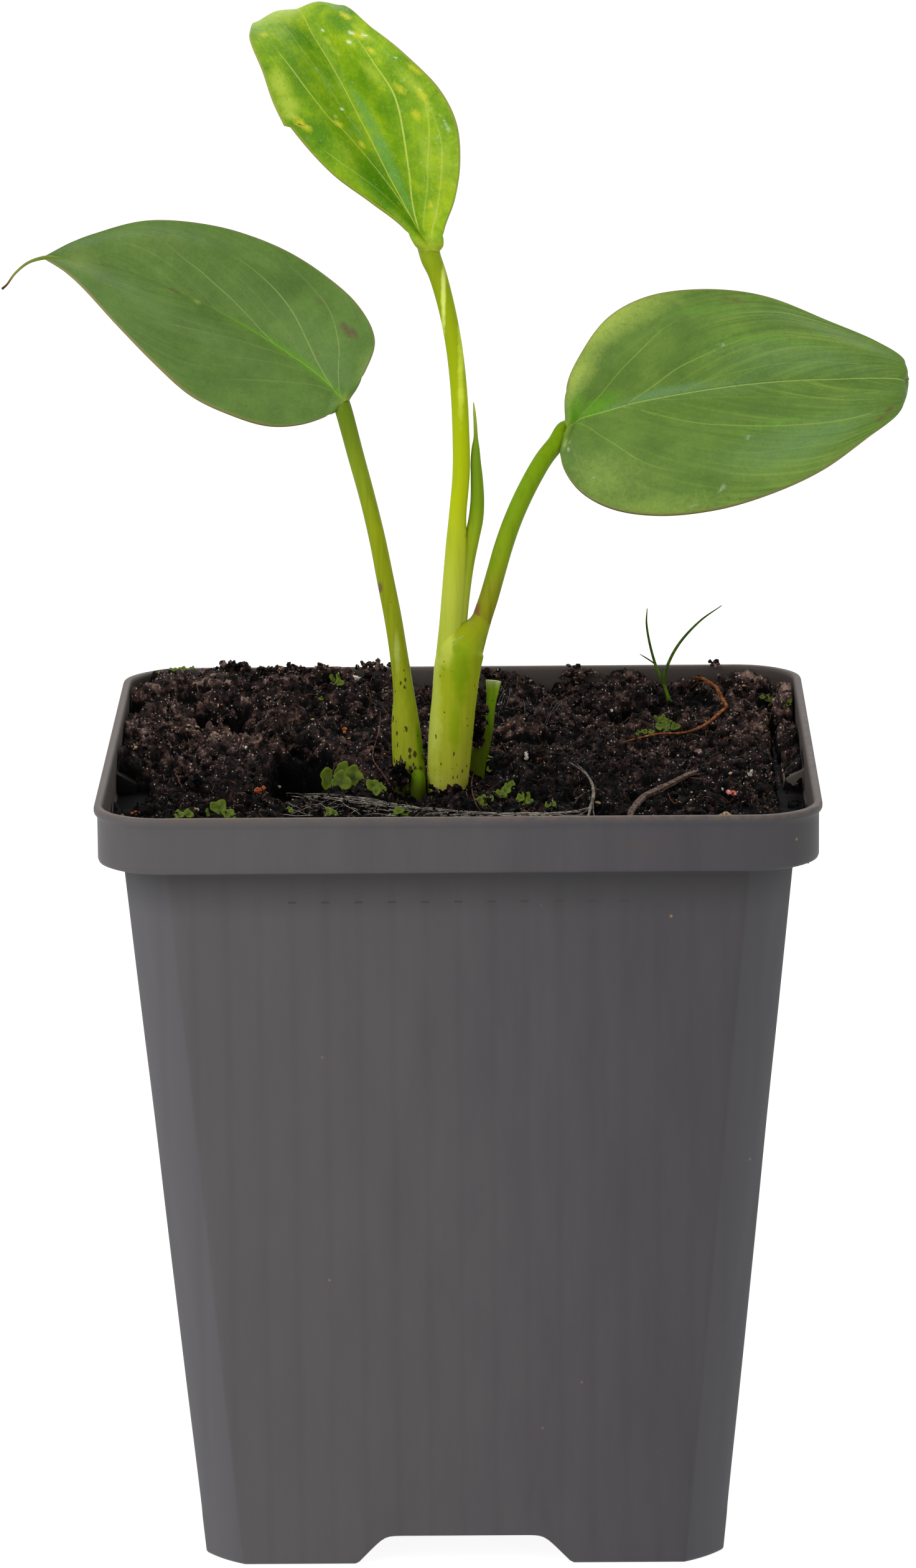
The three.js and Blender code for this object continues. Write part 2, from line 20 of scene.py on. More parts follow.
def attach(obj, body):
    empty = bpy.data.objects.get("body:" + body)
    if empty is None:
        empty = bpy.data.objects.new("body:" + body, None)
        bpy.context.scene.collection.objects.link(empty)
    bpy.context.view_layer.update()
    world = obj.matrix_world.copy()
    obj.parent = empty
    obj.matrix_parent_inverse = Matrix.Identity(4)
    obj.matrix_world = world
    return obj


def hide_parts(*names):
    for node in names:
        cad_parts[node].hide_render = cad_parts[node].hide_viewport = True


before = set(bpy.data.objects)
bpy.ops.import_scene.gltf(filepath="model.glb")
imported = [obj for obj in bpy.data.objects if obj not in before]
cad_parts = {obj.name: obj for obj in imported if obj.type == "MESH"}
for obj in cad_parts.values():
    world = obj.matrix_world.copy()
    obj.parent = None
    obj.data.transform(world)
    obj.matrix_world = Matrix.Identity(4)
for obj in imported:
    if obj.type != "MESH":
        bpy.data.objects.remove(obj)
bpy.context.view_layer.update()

MM = 0.001
LOG = logging.getLogger("calla")
Array = np.ndarray
Place = Callable[[Array, Array], Array]
BMesh = bmesh.types.BMesh
Socket = bpy.types.NodeSocket
Node = bpy.types.Node
Adder = Callable[..., Node]

# Where the plant is seen from, and the height at which the tables mark what lies on the soil: each such
# place slides along its line of sight until it meets the soil.
EYE = (8.7, -952.8, 311.2)
SIGHT_LEVEL = 95.5
# How far such a place moves in depth for each millimetre up.
SIGHT_SLOPE = -4.39
# How far back the soil is seen, and how far from the middle its loose crumbs lie.
WALL_REACH = 43.2
LOOSE_REACH = 42.6

# Shapes that the frame's solids have too, from the same points.
LEFT_STEM = [
    (-14.5, -1.2, 143.3, 1.1), (-12.9, -1.8, 137.2, 1.05), (-11.5, -2.2, 131.9, 1.02),
    (-10.3, -2.6, 126.7, 1.05), (-9.3, -3, 121.4, 1.1), (-8.4, -3.3, 116.6, 1.12),
    (-7.7, -3.6, 111.9, 1.15), (-7.1, -4, 106.9, 1.35), (-6.9, -4.4, 102.8, 1.8),
    (-6.6, -4.8, 98.5, 2), (-6.3, -5, 95, 2), (-6.3, -5, 84, 1.9),
]
CENTRE_STEM = [
    (-3.1, -0.7, 162.1, 1.3), (-2.4, -1.1, 160.4, 1.17), (-1.3, -1.6, 156.4, 1.07),
    (-0.4, -2.4, 151.8, 1.05), (0.2, -3, 146.3, 1.06), (0.45, -3.5, 140.8, 1.08),
    (0.45, -3.9, 135.3, 1.1), (-0.05, -4.2, 129.7, 1.12), (-0.2, -4.35, 126.6, 1.32),
    (-0.55, -4.6, 121.6, 1.44), (-0.95, -4.8, 116.2, 1.52), (-1.35, -4.9, 111.4, 1.65),
    (-1.7, -5, 106, 1.8),
]
RIGHT_PETIOLE = [
    (13.5, 2.7, 139.6, 1), (12.5, 1.7, 138, 1.12), (11.1, 0.6, 136.4, 1.15),
    (10, -0.3, 134.8, 1.16), (8.3, -1.1, 131.7, 1.17), (6.85, -1.8, 128.5, 1.18),
    (5.7, -2.3, 125.3, 1.2), (4.75, -2.8, 122.1, 1.2), (3.8, -3.2, 118.9, 1.22),
    (3, -3.6, 116.6, 1.26), (2.1, -4, 113.6, 1.3), (1, -4.4, 109, 1.3),
]
RIGHT_SHEATH = [
    (3, -3.6, 116.8, 1.15), (2.65, -3.8, 115.9, 1.38), (2.15, -4.1, 115.1, 1.75),
    (1.35, -4.5, 114.3, 2.3), (0.5, -4.75, 113.1, 2.86), (-0.1, -4.8, 111, 2.97),
    (-0.7, -4.9, 106.1, 2.83), (-1.1, -5, 102.3, 2.83), (-1.4, -5, 98.5, 2.75),
    (-1.6, -5, 95, 2.6), (-1.7, -5, 84, 2.4),
]
SHEATH_MEMBRANE = [
    (-1.1, -6.9, 113.5, 0.06), (-0.7, -7.1, 113.9, 0.18), (-0.1, -7.1, 114.3, 0.26),
    (0.7, -6.9, 114.7, 0.2), (1.2, -6.5, 115, 0.06),
]
ROLLED_LEAF = [
    (2.1, -3.2, 144.2, 0.07), (2.2, -3.2, 142.9, 0.18), (2.3, -3.3, 141.3, 0.23),
    (2.34, -3.3, 139.7, 0.29), (2.3, -3.3, 138.4, 0.5), (2.3, -3.4, 136.5, 0.67),
    (2.4, -3.4, 134.8, 0.76), (2.46, -3.45, 131.7, 0.88), (2.25, -3.6, 129.3, 0.95),
    (1.75, -3.8, 126.9, 0.95), (1.13, -4, 123.7, 0.9), (0.67, -4.2, 120.4, 0.86),
    (0.35, -4.4, 117.3, 0.82), (0.1, -4.5, 114, 0.8),
]
WET_STUMP = [
    (-5.5, -6.4, 97.3, 0.5), (-5.45, -6.7, 96.6, 0.95), (-5.45, -7, 95, 1.05), (-5.4, -7, 91, 1),
]
WET_STUB = [(-7.5, -6.6, 95.6, 0.5), (-7.52, -6.8, 95, 0.7), (-7.55, -6.9, 91, 0.72)]
CUT_SHEATH = [
    (4.35, -1.2, 107.8, 1), (4, -1.4, 104.8, 0.62), (3.4, -1.6, 102.2, 0.95),
    (2.8, -1.8, 99.4, 1.05), (2.1, -2, 96.5, 1.1), (1.7, -2.2, 92, 1.1), (1.6, -2.4, 84, 1),
]
LEFT_LEAF = {
    "edge_a": [
        (-13.8, -1, 144.1), (-11.5, 0, 148.1), (-10.4, 2, 151.5), (-12.5, 5, 155.3),
        (-17.3, 8, 159.1), (-23.3, 9.5, 162.3), (-30.8, 9.5, 165), (-39.1, 8.5, 165.9),
        (-46.1, 6, 164.6), (-50.2, 3.5, 163.3),
    ],
    "midrib": [
        (-14.3, -1, 143.7), (-16.3, 0, 145.7), (-18.9, 1.5, 147.7), (-22.5, 3, 150.1),
        (-26.4, 4, 152.5), (-31.2, 4.5, 155.2), (-36.3, 4.5, 157.6), (-41.7, 4, 160),
        (-46.8, 3, 161.3), (-50.3, 2.2, 162.1),
    ],
    "edge_b": [
        (-14.9, -1.5, 143.3), (-16.9, -3, 142.4), (-20, -4.5, 141.8), (-24.3, -6, 142),
        (-28.9, -7, 143.6), (-33.6, -7, 146.1), (-38.2, -6.5, 150.2), (-42.6, -4.5, 154.7),
        (-47.4, -1, 159.3), (-50.4, 1, 161.5),
    ],
}
DRIP_TIP = [
    (-49.4, 2.3, 161.9, 0.08), (-50.6, 2.1, 162.2, 0.22), (-51.9, 1.9, 162.3, 0.26),
    (-54.1, 1, 161.8, 0.19), (-55.8, 0.3, 160.5, 0.16), (-56.8, -0.3, 159.2, 0.14),
    (-57.4, -0.6, 158.7, 0.17),
]
RIGHT_LEAF = {
    "edge_a": [
        (13.5, 1.5, 139.1), (13.2, -0.5, 136), (15.3, -2.5, 132.7), (19.3, -4.5, 130.7),
        (25.5, -5.5, 129.9), (32.6, -5.5, 130.6), (39.7, -4.5, 132.6), (46.5, -3, 135.4),
        (52.1, -0.5, 138.9), (55.8, 2, 141.2), (57.05, 4, 143.1),
    ],
    "midrib": [
        (13.7, 2, 139.7), (16.2, 3, 141), (19.8, 4, 142), (24.2, 5, 143), (29.8, 6, 143.9),
        (36.1, 6.5, 144.8), (42.5, 6.5, 145.4), (48.8, 6, 145.8), (53.9, 5, 145.9),
        (56.6, 4.7, 145.6), (57.1, 5.6, 144.7),
    ],
    "edge_b": [
        (13.8, 2, 140.5), (14, 3.5, 145.2), (15.7, 6, 148.7), (19.1, 9, 152.7),
        (24.3, 11, 155.2), (31.1, 12, 156), (39.1, 12, 155.1), (47.4, 10.5, 152.1),
        (53.6, 8, 149.7), (56.7, 6.2, 147.8), (57.05, 6.6, 145.9),
    ],
}
CENTRE_LEAF = {
    "edge_a": [
        (-1.8, -0.7, 162.8), (-1.5, -0.8, 165.7), (-0.1, -1.8, 169.9), (0.6, -3.5, 174.7),
        (0.2, -4, 179.7), (-1.9, -3.5, 184), (-5.9, -1.5, 187.9), (-10, 2.5, 190.7),
        (-14.2, 8.5, 193), (-18.3, 12.6, 190.6), (-21.5, 14.2, 186.4),
    ],
    "midrib": [
        (-3, -0.5, 163), (-4.7, 0.5, 165.3), (-6.6, 1.5, 168.5), (-8.8, 2.5, 172.5),
        (-11.1, 3.5, 177), (-13.3, 4.5, 181.4), (-15.6, 6, 185.7), (-17.8, 8, 189.2),
        (-19.9, 10.6, 192.6), (-21.3, 13.4, 189.7), (-22.3, 14.5, 186.2),
    ],
    "edge_b": [
        (-4.4, -0.7, 162.8), (-6.4, -0.8, 166.1), (-10.6, -1.5, 169.6), (-15.3, -2.5, 173.3),
        (-19, -3, 177.4), (-22.3, -2.5, 182.1), (-24.1, -0.5, 186.4), (-25.7, 3, 189.9),
        (-25.2, 8, 190.7), (-23.8, 12, 188.5), (-22.9, 13.8, 186.4),
    ],
}
# The sleeve's edge: rows of x and y.
FIBRE_NET = [
    (-21.9, -10.3), (-19.2, -11), (-15.5, -11.8), (-13.4, -13.2), (-10.7, -15), (-7.7, -17.8), (-4.7, -19.2),
    (-1.7, -20.8), (1.2, -22.2), (5.8, -23.2), (11.9, -22.9), (14.8, -22.1), (16.5, -19.8),
]
# Strips of the sleeve's torn end, as rows of x, y and radius that are laid on the soil.
SLEEVE_STRIPS = (
    [(14, 5.7, 0.04), (15.3, 1.8, 0.09), (16.3, -2.4, 0.13), (16.9, -9.1, 0.19), (16.9, -14.5, 0.23),
     (16.5, -19.8, 0.2), (16.1, -26, 0.14)],
    [(15, 4.5, 0.03), (16.2, -1, 0.06), (16.7, -7.8, 0.08)],
    [(16.9, -14.5, 0.06), (16.8, -20.4, 0.1), (16.9, -26.1, 0.05)],
    [(16.7, -17.1, 0.05), (15.9, -22.4, 0.08), (14.8, -25, 0.03)],
)
GRASS_LEFT = [
    (24.6, 35.4, 109.6, 0.06), (24.5, 35.5, 107.6, 0.13), (25, 35.7, 104.4, 0.17), (25.9, 36, 101.2, 0.19),
    (27.1, 36, 98.3, 0.2), (27.4, 36, 96.9, 0.22),
]
GRASS_RIGHT = [
    (34.5, 37, 109.6, 0.06), (31.6, 36.6, 107.6, 0.14), (28.8, 36.2, 104.6, 0.19),
    (27.3, 36, 101.8, 0.21), (26.8, 36, 99.8, 0.21), (27.3, 36, 97.6, 0.22),
    (28.3, 35.4, 95.5, 0.22), (28.6, 35, 90, 0.22),
]
DRY_STRAW = [
    (23.6, 36, 103.3, 0.04), (24.4, 36, 102.8, 0.09), (25.4, 36, 102.1, 0.09), (26, 36, 101.5, 0.04),
]
LOOSE_ROOT = [
    (31.1, 57.9, 0.1), (32.4, 56.6, 0.2), (33.3, 54, 0.22), (34, 51.7, 0.22), (34.4, 47.4, 0.24),
    (34.7, 43.8, 0.22), (35.1, 38.6, 0.2), (34.2, 35, 0.22), (32.7, 29.5, 0.2), (31, 25.2, 0.2),
    (28.8, 22.4, 0.16), (26, 22.2, 0.14), (23.2, 19.7, 0.12), (20.7, 16.9, 0.04),
]
DRY_HUSK = [
    (21.3, -25.9, 0.3), (21.8, -21.2, 0.42), (23.2, -14.7, 0.5), (25.1, -10.7, 0.55), (27, -6.8, 0.5),
    (28.5, -3.4, 0.44), (29.6, -1.1, 0.34), (30.5, 0.2, 0.14),
]
HUSK_FIBRES = (
    [(28.8, -3.4, 0.04), (30.1, -2.1, 0.1), (31.3, -1.4, 0.04)],
    [(28.5, -4.1, 0.04), (30, -4.1, 0.08), (30.9, -4.8, 0.03)],
    [(21.9, -23.9, 0.05), (21.8, -25.8, 0.1), (21.9, -27.2, 0.05)],
)
# Liverwort lobes: x, y, radius and lean in degrees.
LIVERWORT = (
    (-16.5, -5.5, 1.5, 64), (-15.1, -1.8, 1.4, 66), (-13.7, -4.4, 1.45, 62), (-15.2, -6.4, 1.3, 60),
    (-11.1, -7.7, 0.8, 50), (-10.1, -9.7, 0.7, 50), (-10.6, -11, 0.6, 45), (-39.7, 64.5, 0.5, 12),
    (-38.4, 65.2, 0.5, 12), (-37.1, 65.6, 0.45, 12), (-41.4, 63, 0.35, 12), (-17.6, 57.9, 0.6, 45),
    (-16.8, 55.1, 0.6, 40), (-16.9, 58.6, 0.5, 50), (-19, 45.4, 0.3, 35), (-35.1, -23.5, 0.7, 30),
    (-34, -23.3, 0.7, 35), (-35.6, -24.6, 0.5, 25), (-31.3, -22.3, 0.6, 35), (-30.2, -20, 1, 50),
    (-29, -23.3, 0.8, 35), (-28.4, -24.4, 0.5, 30), (-16.5, -22.8, 0.7, 35), (-15.7, -23.4, 0.6, 35),
    (-7.6, -22, 0.6, 35), (-6.7, -23, 0.6, 35), (-7.1, -24.3, 0.5, 30), (-21.4, -20.3, 0.35, 30),
    (-21.1, -21.3, 0.3, 30), (2.5, -16.7, 0.6, 30), (3.1, -18.1, 0.5, 30), (3, -15.2, 0.5, 35),
    (3.9, -15.4, 0.45, 35), (4.5, -13.1, 0.5, 35), (5.1, -12.2, 0.5, 35), (5.8, -11.2, 0.6, 35),
    (6.1, -8.6, 0.5, 40), (6.6, -6.8, 0.4, 40), (5.5, -13.5, 0.5, 30), (7.7, -15.6, 0.6, 35),
    (8.5, -14.5, 0.6, 40), (8.2, -18.2, 0.6, 30), (8.8, -16.9, 0.5, 30), (7.8, -13.2, 0.4, 35),
    (11.2, -19, 0.45, 30), (11.8, -18.6, 0.4, 30), (3.8, 1.4, 0.5, 25), (3.5, 7.7, 0.6, 25),
    (25.7, 29.7, 0.7, 35), (26.6, 30.4, 0.7, 40), (27.3, 27.9, 0.7, 35), (27, 24.6, 0.6, 30),
    (28.1, 26, 0.6, 35), (26.1, 26.1, 0.6, 30), (23.2, 22.6, 0.4, 25), (24, 23.3, 0.45, 25),
    (24.9, 23.2, 0.4, 25), (40.6, 43.2, 0.55, 35), (40.1, 44.3, 0.35, 35), (41.1, 42.1, 0.35, 35),
    (43.7, 41.6, 0.3, 35), (43.4, 39.7, 0.25, 30),
)
# Holes in the soil: middle x and y, half sizes, depth.
SOIL_HOLES = (
    (-20.4, 1.7, 3.7, 11, 15), (-42, -9.3, 2.4, 6.6, 3.4), (-42.6, 38.5, 1.7, 3.6, 3.6),
    (-42.9, 27.5, 1.3, 3.2, 3.4), (-32, 27.4, 3.2, 2.6, 3.6), (-34.8, 9, 2.6, 1.7, 2.2),
    (-36.5, 2.6, 4.2, 1.5, 2.6), (-18.9, 40.3, 2.4, 1.6, 2.4), (-20.8, 30.5, 2.2, 1.1, 1.4),
    (-29.5, -12, 5, 1.5, 1.4), (-6.3, -8.4, 3.3, 4.6, 2.4), (-1.3, -10.2, 3, 2.6, 1),
    (4, 4.5, 2.2, 8.5, 2.2), (11.5, 20.6, 6.5, 1.8, 2), (31.5, 36.4, 2.2, 3, 2),
    (19.6, 32, 3, 1.6, 1.4), (31.7, 15.6, 3, 1.6, 1.4), (24.3, -19.5, 3.6, 1.8, 1.2),
    (40.75, -10, 0.5, 34, 3.6), (42.6, -26, 1.5, 21, 2.2), (16.8, 1.5, 1.2, 3.6, 1.2),
)
# Heaps of crumbs: x, y, half width, height and count. Those stuck on the stalks: middle, spread, count.
SOIL_HEAPS = (
    (-31.6, 66, 0.9, 0.35, 40), (-29.8, 66, 0.3, 0.35, 14), (-23.5, 65, 0.3, 0.3, 12),
    (-19.5, 66, 0.4, 0.3, 16), (-12.2, 66, 1.1, 0.3, 34), (-21.7, 61.9, 1, 0.4, 20),
    (-26, 64, 2.4, 0.2, 40), (-23, 18.3, 0.8, 0.5, 26), (-24.9, 19.8, 0.6, 0.4, 14),
    (-31.6, 32.9, 0.8, 0.5, 16), (34.3, 66.5, 0.22, 0.16, 12), (4, 60, 0.9, 0.4, 24),
    (15.5, 60, 1.2, 0.4, 30),
)
STUCK_SOIL = (
    ((-7.65, -8, 97.1), (0.62, 0.4, 0.66), 90), ((-8.4, -7, 96), (0.3, 0.3, 0.6), 14),
    ((-3, -8.8, 94.5), (0.6, 0.3, 0.4), 40), ((-0.9, -8.8, 94.9), (0.6, 0.3, 0.45), 44),
    ((0.7, -8.5, 94.3), (0.5, 0.3, 0.3), 26), ((2.35, -2.6, 101.6), (0.4, 0.3, 1.2), 60),
    ((2.9, -2.4, 104.2), (0.25, 0.2, 0.6), 16),
)
# Grains on the soil: name, darkest and lightest colour, thickness, then rows of x, y and radius.
SOIL_GRAINS = (
    ("clay_grain", "#6e2d12", "#b5622c", 0.8, (
        (-25.6, -10, 0.52), (-25, -8.5, 0.42), (-27.6, 38.4, 0.18), (-27.6, 32.8, 0.16), (-15.4, 25.9, 0.3),
        (-15.4, 24.2, 0.2), (-9.9, 10.8, 0.18), (-41, -22.3, 0.34), (-40.6, -21.4, 0.25), (-35.8, 40.4, 0.2),
        (-32.2, 41.5, 0.16), (6.1, 27.7, 0.22), (14.8, 29.7, 0.24), (41.9, 53.2, 0.26), (10, 7.2, 0.2),
        (34.5, 18.7, 0.22))),
    ("coral_grain", "#a8584a", "#dc8f80", 0.8, ((34.1, -12.9, 0.4), (34.6, -13.3, 0.4), (34.9, -13.8, 0.26))),
    ("perlite", "#8d8478", "#d6cfc2", 0.9, (
        (-14.9, 58.9, 0.3), (-14.5, 57.9, 0.4), (-14.1, 57.6, 0.32), (-18.6, 44, 0.14), (-28, 15.3, 0.2),
        (-23, -8, 0.22), (-13, 52.4, 0.12), (8.5, 9.9, 0.46), (8.5, 7.8, 0.36), (6.4, 43.2, 0.18),
        (9.4, 28.8, 0.17), (19.9, 36.2, 0.24), (37.3, -1.1, 0.42), (37, -2.7, 0.36), (36.2, -7.7, 0.2),
        (33.4, -11.2, 0.26), (24.8, 11.9, 0.15), (25.4, -5.4, 0.15), (33.1, 28, 0.15), (28.9, 22.4, 0.15),
        (32.5, 42.7, 0.16), (31.1, -12, 0.14), (22.2, 43.8, 0.16))),
    ("bark_shred", "#5d4634", "#ab8e6c", 0.6, (
        (-42.8, 16.8, 0.5), (-42.5, 15.3, 0.4), (-10.2, -11.8, 0.36), (-33.1, -20.7, 0.42),
        (-42.2, -23.6, 0.3), (-26.7, 18.7, 0.26), (-17.9, 18.4, 0.32), (-19.8, 32.1, 0.3),
        (-14.7, 20.3, 0.26), (-36.1, 29, 0.36), (-35, 28, 0.4), (-36.3, 26.6, 0.3), (-39.9, -13.5, 0.36),
        (-39.9, -12.2, 0.3), (34.6, -1.8, 0.34),
        (39.9, -2, 0.28), (28.1, 8.7, 0.2), (27, 10.4, 0.18), (29.4, -12.6, 0.24), (40, 23.1, 0.28),
        (23.5, 19, 0.22), (37.9, 51.6, 0.3), (17.5, -18.2, 0.4), (17.3, -19.8, 0.3), (32.8, -25.5, 0.6),
        (33.4, -25.1, 0.6), (33.8, -25.9, 0.5), (32.2, 23, 0.16), (36.4, 34, 0.2), (9.1, 55.5, 0.28))),
)
# Fine roots, as rows of x, y and radius that are laid on the soil.
ROOTLETS = (
    [(-10.9, 37.4, 0.04), (-10.8, 26.5, 0.07), (-11.4, 12.3, 0.08), (-11.3, 8.1, 0.08), (-9.7, -1.6, 0.08),
     (-8.1, -11.1, 0.04)],
    [(1.9, 2.9, 0.04), (1.5, -6, 0.08), (1.7, -12.7, 0.08), (2.3, -19.4, 0.07), (3, -23.3, 0.04)],
    [(37.3, 51.6, 0.03), (37.5, 48.5, 0.08), (37.6, 45.5, 0.03)],
    [(14.6, -17.1, 0.03), (15.3, -13.8, 0.09), (16, -11.4, 0.03)],
    [(-22.6, 36.7, 0.03), (-21.9, 34.8, 0.07), (-21.4, 31.6, 0.03)],
    [(-36.4, 1.9, 0.03), (-36, -2.9, 0.1), (-35.3, -7.6, 0.03)],
    [(-37.9, 26.6, 0.03), (-37.4, 28, 0.1), (-36.9, 25.6, 0.03)],
)


# ---- curves and meshes

def unit(rows: Array) -> Array:
    """Rows of vectors, each at length one."""
    return rows / np.maximum(np.linalg.norm(rows, axis=1, keepdims=True), 1e-9)


def smoothstep(value: Array, low: float, high: float) -> Array:
    """A soft step.

    Args:
        value: what is stepped.
        low: where it is still 0.
        high: where it reaches 1.

    Returns:
        The step at each value.
    """
    share = np.clip((value - low) / (high - low), 0, 1)
    return share * share * (3 - 2 * share)


def spline(points: list, places: Array) -> Array:
    """Reads a centripetal Catmull-Rom curve, as the frame's solids do.

    Args:
        points: rows of numbers; the first three are a place, and the rest go along with it.
        places: positions from 0 to 1, counted by point.

    Returns:
        One row for each position.
    """
    rows = np.asarray(points, float)
    rows = np.vstack([2 * rows[0] - rows[1], rows, 2 * rows[-1] - rows[-2]])
    at = np.clip(places, 0, 1) * (len(rows) - 3)
    first = np.minimum(at.astype(int), len(rows) - 4)
    p0, p1, p2, p3 = (rows[first + k] for k in range(4))
    gaps = [np.sqrt(np.linalg.norm((b - a)[:, :3], axis=1, keepdims=True)) + 1e-6
            for a, b in ((p0, p1), (p1, p2), (p2, p3))]
    start = ((p1 - p0) / gaps[0] - (p2 - p0) / (gaps[0] + gaps[1]) + (p2 - p1) / gaps[1]) * gaps[1]
    end = ((p2 - p1) / gaps[1] - (p3 - p1) / (gaps[1] + gaps[2]) + (p3 - p2) / gaps[2]) * gaps[1]
    w = (at - first)[:, None]
    return (p1 + start * w + (3 * (p2 - p1) - 2 * start - end) * w ** 2
            + (2 * (p1 - p2) + start + end) * w ** 3)


def move(bm: BMesh, spots: Array) -> None:
    """Moves every vertex to its row of spots, in millimetres."""
    for vert, spot in zip(bm.verts, spots * MM):
        vert.co = spot


def lattice(across: int, along: int) -> tuple[BMesh, Array, Array]:
    """Makes a flat grid to bend.

    Args:
        across: cells along u.
        along: cells along v.

    Returns:
        The grid with u and v, from 0 to 1, in its UV map, and both for every vertex.
    """
    bm = bmesh.new()
    bm.loops.layers.uv.new("UVMap")
    bmesh.ops.create_grid(bm, x_segments=across, y_segments=along, size=0.5, calc_uvs=True)
    spots = np.array([vert.co[:] for vert in bm.verts]) + 0.5
    return bm, spots[:, 0], spots[:, 1]


def sheet(across: int, along: int, place: Place) -> BMesh:
    """Makes a grid and bends it.

    Args:
        across: cells along u.
        along: cells along v.
        place: turns u and v, both from 0 to 1, into rows of millimetres.

    Returns:
        The bent grid.
    """
    bm, u, v = lattice(across, along)
    move(bm, place(u, v))
    return bm


def paint(bm: BMesh, name: str, values: Array) -> None:
    """Gives every vertex a number that finishes can read.

    Args:
        bm: the mesh.
        name: the attribute's name.
        values: a number for each vertex.
    """
    layer = bm.verts.layers.float.new(name)
    for vert, value in zip(bm.verts, values):
        vert[layer] = value


def close(bm: BMesh) -> BMesh:
    """Merges seams and poles, fills what is still open, and turns the faces outward.

    Args:
        bm: the mesh, changed in place.

    Returns:
        The same mesh.
    """
    bmesh.ops.remove_doubles(bm, verts=bm.verts, dist=1e-7)
    bmesh.ops.dissolve_degenerate(bm, edges=bm.edges, dist=1e-8)
    bmesh.ops.holes_fill(bm, edges=bm.edges, sides=0)
    bmesh.ops.recalc_face_normals(bm, faces=bm.faces)
    return bm


def tube(points: list, around: int, along: int, across: tuple = (0, -1, 0), flat: float = 1.0,
         section: Place | None = None) -> BMesh:
    """Makes a closed tapering stalk.

    Args:
        points: rows of x, y, z and radius.
        around: sides of the section.
        along: rows along the stalk, the two that close the ends included.
        across: the direction that the section's depth is measured from.
        flat: how much the depth is squashed.
        section: gives the radius's share at (u, v), 1 for a round section.

    Returns:
        The closed tube, with u round it and v along it.
    """
    def place(u: Array, v: Array) -> Array:
        """Bends the grid.

        Args:
            u: from 0 to 1, round the stalk.
            v: from 0 to 1, along it.

        Returns:
            Rows of x, y and z in millimetres.
        """
        row = np.round(v * along)
        share = np.clip((row - 1) / (along - 2), 0, 1)
        path = spline(points, share)
        forward = unit((spline(points, share + 0.004) - spline(points, share - 0.004))[:, :3])
        side = unit(np.cross(np.broadcast_to(across, forward.shape), forward))
        up = np.cross(forward, side)
        radius = path[:, 3] * (1 if section is None else section(u, share))
        radius = np.where((row < 0.5) | (row > along - 0.5), 0, radius)[:, None]
        angle = (2 * np.pi * u)[:, None]
        return path[:, :3] + side * np.cos(angle) * radius + up * np.sin(angle) * radius * flat

    return close(sheet(around, along, place))


def swarm(seed: BMesh, count: int) -> tuple[BMesh, int]:
    """Duplicates a seed shape.

    Args:
        seed: the shape; it becomes the swarm.
        count: how many there are in the end.

    Returns:
        The bmesh, in blocks of vertices, one for each copy, and the vertices in a block.
    """
    sizes = [len(seed.verts), len(seed.edges), len(seed.faces)]
    made = 1
    while made < count:
        take = min(made, count - made)
        for rows in (seed.verts, seed.edges, seed.faces):
            rows.ensure_lookup_table()
        geometry = []
        for rows, size in zip((seed.verts, seed.edges, seed.faces), sizes):
            geometry += rows[:take * size]
        bmesh.ops.duplicate(seed, geom=geometry)
        made += take
    return seed, sizes[0]


def flock(around: int, along: int, count: int) -> tuple[BMesh, int, Array, Array]:
    """Makes many small grids to bend, each into a fibre or a lobe.

    Args:
        around: cells round each.
        along: cells along each.
        count: how many there are.

    Returns:
        The bmesh, the vertices in a grid, and a row for each grid of angles and of shares along it.
    """
    bm, u, v = lattice(around, along)
    bm, block = swarm(bm, count)
    return bm, block, np.tile(u, (count, 1)) * 2 * np.pi, np.tile(v, (count, 1))


def taper(share: Array) -> Array:
    """How thick a fibre is along its length, from 0 at its ends to 1."""
    return np.clip(4 * share * (1 - share), 0, 1) ** 0.3


def thicken(piece: bpy.types.Object, thickness: float, offset: float) -> None:
    """Gives a sheet its thickness.

    Args:
        piece: the sheet.
        thickness: in millimetres.
        offset: 0 for half to each side, and -1 for all of it inwards.
    """
    shell = piece.modifiers.new("thickness", "SOLIDIFY")
    shell.thickness = thickness * MM
    shell.offset = offset


# ---- finishes

def linear(colour: str) -> tuple[float, float, float, float]:
    """An sRGB hex colour as linear RGBA."""
    parts = [int(colour[k:k + 2], 16) / 255 for k in (1, 3, 5)]
    return (*(c / 12.92 if c <= 0.04045 else ((c + 0.055) / 1.055) ** 2.4 for c in parts), 1.0)


